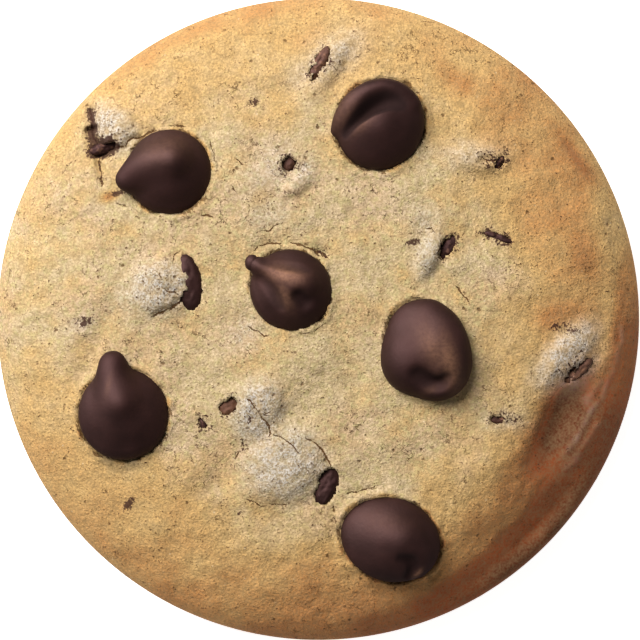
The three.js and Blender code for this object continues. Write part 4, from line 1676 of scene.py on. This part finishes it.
    def browning(self, places: Array, underside: Array) -> Array:
        """How brown the crust is baked at each place.

        Args:
            places: Places on the dough.
            underside: True for the vertices of the underside.

        Returns:
            One value for each place, from 0 to MOST_BROWN.
        """
        out = np.hypot(places[:, 0], places[:, 1]) / self.section.radius
        out_uneven = out + 0.022 * noise_at(places, 6.0, 2.2, 2)
        bearing = np.degrees(np.arctan2(places[:, 1], places[:, 0])) % 360.0
        slow = np.interp(bearing, RIM_BEARINGS, SLOW_BROWNING) * smoothstep(out_uneven, 0.45, 0.97)
        start = np.interp(bearing, RIM_BEARINGS, WALL_START)
        wall = np.interp(bearing, RIM_BEARINGS, WALL_BROWNING)
        wall *= smoothstep(out_uneven, start - 0.015, start + 0.035)
        low = 0.25 * (1.0 - smoothstep(places[:, 2], 0.5, 4.5))
        baked = slow + wall + low
        for place in BAKED_PLACES:
            baked = baked + place.height_at(places[:, 0], places[:, 1])
        baked = np.clip(baked, 0.0, MOST_BROWN)
        return np.where(underside, 0.5 + 0.25 * smoothstep(out, 0.6, 0.95), baked)


@dataclass
class WholeChip:
    """One whole chip, seated in the dough.

    Unevenness is how high its faint lumps stand, in millimetres.
    """

    form: ChipForm
    fineness: int = 6
    smoothing: int = 6
    unevenness: float = 0.03

    def build(self, material: bpy.types.Material) -> bpy.types.Object:
        """Makes the chip.

        Args:
            material: Its finish.

        Returns:
            The finished piece.
        """
        deselect_all()
        bpy.ops.mesh.primitive_ico_sphere_add(subdivisions=self.fineness, radius=1.0)
        piece = bpy.context.object
        piece.name = self.form.name + "_satin"
        ball = read_vertices(piece)
        ball /= np.linalg.norm(ball, axis=1)[:, None]
        points = self.form.surface(ball)
        points += ball * (self.unevenness * noise_at(points, 2.2, self.form.turn, 2))[:, None]
        write_vertices(piece, points)
        bpy.ops.object.mode_set(mode="EDIT")
        bpy.ops.mesh.select_all(action="SELECT")
        bpy.ops.mesh.vertices_smooth(factor=0.5, repeat=self.smoothing)
        bpy.ops.object.mode_set(mode="OBJECT")
        if self.form.nub:
            self.add_nub(piece)
        points = read_vertices(piece) / MM
        # The chip's blooms and its painted highlights.
        bloom_and_highlight = np.zeros(len(points))
        for place in self.form.blooms_and_highlights:
            bloom_and_highlight = np.maximum(bloom_and_highlight, place.height_at(points[:, 0], points[:, 1]))
        write_paint(piece, Paint.BLOOM, np.clip(bloom_and_highlight * (points[:, 2] > 0.0), 0.0, 1.0))
        # Painted shade inside the chip's grooves and hollows.
        write_paint(piece, Paint.CREVICE, self.form.painted_groove_shade(points))
        write_vertices(piece, points + np.array(self.form.middle))
        piece.data.materials.append(material)
        bpy.ops.object.shade_smooth()
        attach(piece, ROOT)
        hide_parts(self.form.name)
        return piece

    def add_nub(self, piece: bpy.types.Object) -> None:
        """Joins the round end of a drawn out tip to the chip.

        Args:
            piece: The chip, still round its own middle.
        """
        x, y, z, radius = self.form.nub
        deselect_all()
        bpy.ops.mesh.primitive_ico_sphere_add(subdivisions=4, radius=radius * MM)
        nub = bpy.context.object
        bpy.ops.transform.resize(value=(1.0, 1.15, 0.9))
        bpy.ops.transform.translate(value=(x * MM, y * MM, z * MM))
        bpy.ops.object.transform_apply(location=True, rotation=True, scale=True)
        deselect_all()
        piece.select_set(True)
        bpy.context.view_layer.objects.active = piece
        union = piece.modifiers.new("nub", "BOOLEAN")
        union.operation = "UNION"
        union.object = nub
        bpy.ops.object.modifier_apply(modifier=union.name)
        bpy.data.objects.remove(nub)


@dataclass
class SunkenBit:
    """One bit of chocolate that shows in a pit, a crack or the crust.

    Flatness is the power that its rise is drawn with, so less is a flatter top, and unevenness
    is how high its lumps stand, in millimetres.
    """

    form: BitForm
    fineness: int = 5
    flatness: float = 0.42
    unevenness: float = 0.16

    def build(self, material: bpy.types.Material) -> bpy.types.Object:
        """Makes the bit.

        Args:
            material: Its finish.

        Returns:
            The finished piece.
        """
        deselect_all()
        bpy.ops.mesh.primitive_ico_sphere_add(subdivisions=self.fineness, radius=1.0)
        piece = bpy.context.object
        piece.name = self.form.name + "_satin"
        directions = read_vertices(piece)
        turn = math.radians(self.form.turn)
        along = directions[:, 0] * self.form.length / 2
        across = directions[:, 1] * self.form.width / 2
        rise = np.sign(directions[:, 2]) * np.abs(directions[:, 2]) ** self.flatness
        points = np.column_stack([
            self.form.x + along * math.cos(turn) - across * math.sin(turn),
            self.form.y + along * math.sin(turn) + across * math.cos(turn),
            self.form.top - 0.1 + (rise - 1.0) * self.form.height / 2,
        ])
        points += directions * (self.unevenness * noise_at(points, 0.8, 3.1, 2))[:, None]
        crumbs = smoothstep(noise_at(points, 0.45, 8.2, 2), 0.15, 0.4) * self.form.covered
        write_paint(piece, Paint.BLOOM, np.clip(np.maximum(crumbs, self.form.crusted), 0.0, 1.0))
        write_vertices(piece, points)
        piece.data.materials.append(material)
        bpy.ops.object.shade_smooth()
        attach(piece, ROOT)
        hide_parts(self.form.name)
        return piece


@dataclass
class Studio:
    """The floor, the light and the camera, which looks straight down.

    The photo's sizes are in pixels: its width, and the radius and the middle of the cookie in
    it. The sensor's width is in millimetres and the powers are in watts. Contrast is the gamma
    of the view, and sky the strength of the light all round. The rest is in metres.
    """

    photo_size: float = 640.0
    photo_radius: float = 320.9
    photo_middle: tuple[float, float] = (318.2, 319.0)
    camera_height: float = 1.0
    sensor: float = 36.0
    contrast: float = 0.88
    floor_size: float = 6.0
    key_power: float = 20.8
    key_size: float = 0.8
    key_place: tuple[float, float, float] = (-0.41, 0.51, 0.755)
    sheen_power: float = 13.0
    sheen_size: float = 0.9
    sheen_place: tuple[float, float, float] = (-0.76, 0.56, 0.34)
    sky: float = 0.22

    def build(self) -> None:
        """Makes everything round the cookie."""
        self.add_floor()
        self.add_light("key", self.key_power, self.key_size, self.key_place)
        sheen = self.add_light("sheen", self.sheen_power, self.sheen_size, self.sheen_place)
        sheen.visible_diffuse = False
        self.add_sky()
        self.add_camera()
        bpy.context.scene.view_settings.view_transform = "Standard"
        bpy.context.scene.view_settings.look = "None"
        bpy.context.scene.view_settings.gamma = self.contrast

    def add_floor(self) -> None:
        """Lays the plain pale floor."""
        deselect_all()
        bpy.ops.mesh.primitive_plane_add(size=self.floor_size)
        floor = bpy.context.object
        floor.name = "floor"
        floor.data.materials.append(PaleFloor().make())
        floor.visible_glossy = False

    def add_light(self, name: str, power: float, size: float,
                  place: tuple[float, float, float]) -> bpy.types.Object:
        """Hangs a large soft light that faces the cookie.

        Args:
            name: The light's name.
            power: Its power in watts.
            size: How wide its disc is, in metres.
            place: Where its middle is, in metres.

        Returns:
            The light.
        """
        lamp = bpy.data.lights.new(name, "AREA")
        lamp.energy = power
        lamp.shape = "DISK"
        lamp.size = size
        light = bpy.data.objects.new(name, lamp)
        bpy.context.collection.objects.link(light)
        light.location = place
        light.rotation_euler = (-Vector(place)).to_track_quat("-Z", "Y").to_euler()
        light.visible_camera = False
        return light

    def add_sky(self) -> None:
        """Surrounds the cookie with an even pale light."""
        world = bpy.data.worlds.new("sky")
        world.use_nodes = True
        world.node_tree.nodes["Background"].inputs["Color"].default_value = (1.0, 1.0, 1.0, 1.0)
        world.node_tree.nodes["Background"].inputs["Strength"].default_value = self.sky
        bpy.context.scene.world = world

    def add_camera(self) -> None:
        """Sets a long lens straight above, so that the rim fills the frame as in the photo."""
        scale = SECTION.radius * MM / self.photo_radius
        above_rim = self.camera_height - SECTION.rim_height * MM
        camera = bpy.data.cameras.new("camera")
        camera.sensor_width = self.sensor
        camera.lens = self.sensor * above_rim / (self.photo_size * scale)
        camera.clip_end = 10.0
        seat = bpy.data.objects.new("camera", camera)
        bpy.context.collection.objects.link(seat)
        across = (self.photo_size / 2 - self.photo_middle[0]) * scale
        up = (self.photo_middle[1] - self.photo_size / 2) * scale
        seat.location = (across, up, self.camera_height)
        bpy.context.scene.camera = seat


def main() -> None:
    """Builds the cookie and its surroundings, and reports each piece."""
    logging.basicConfig(level=logging.INFO, format="%(name)s: %(message)s")
    Studio().build()
    crust = BakedCrust().make()
    chocolate = DarkChocolate().make()
    pieces = [Dough().build(crust)]
    pieces += [WholeChip(form).build(chocolate) for form in CHIPS]
    pieces += [SunkenBit(form).build(chocolate) for form in BITS]
    for piece in pieces:
        LOG.info("%s has %d faces", piece.name, len(piece.data.polygons))


if __name__ == "__main__":
    main()
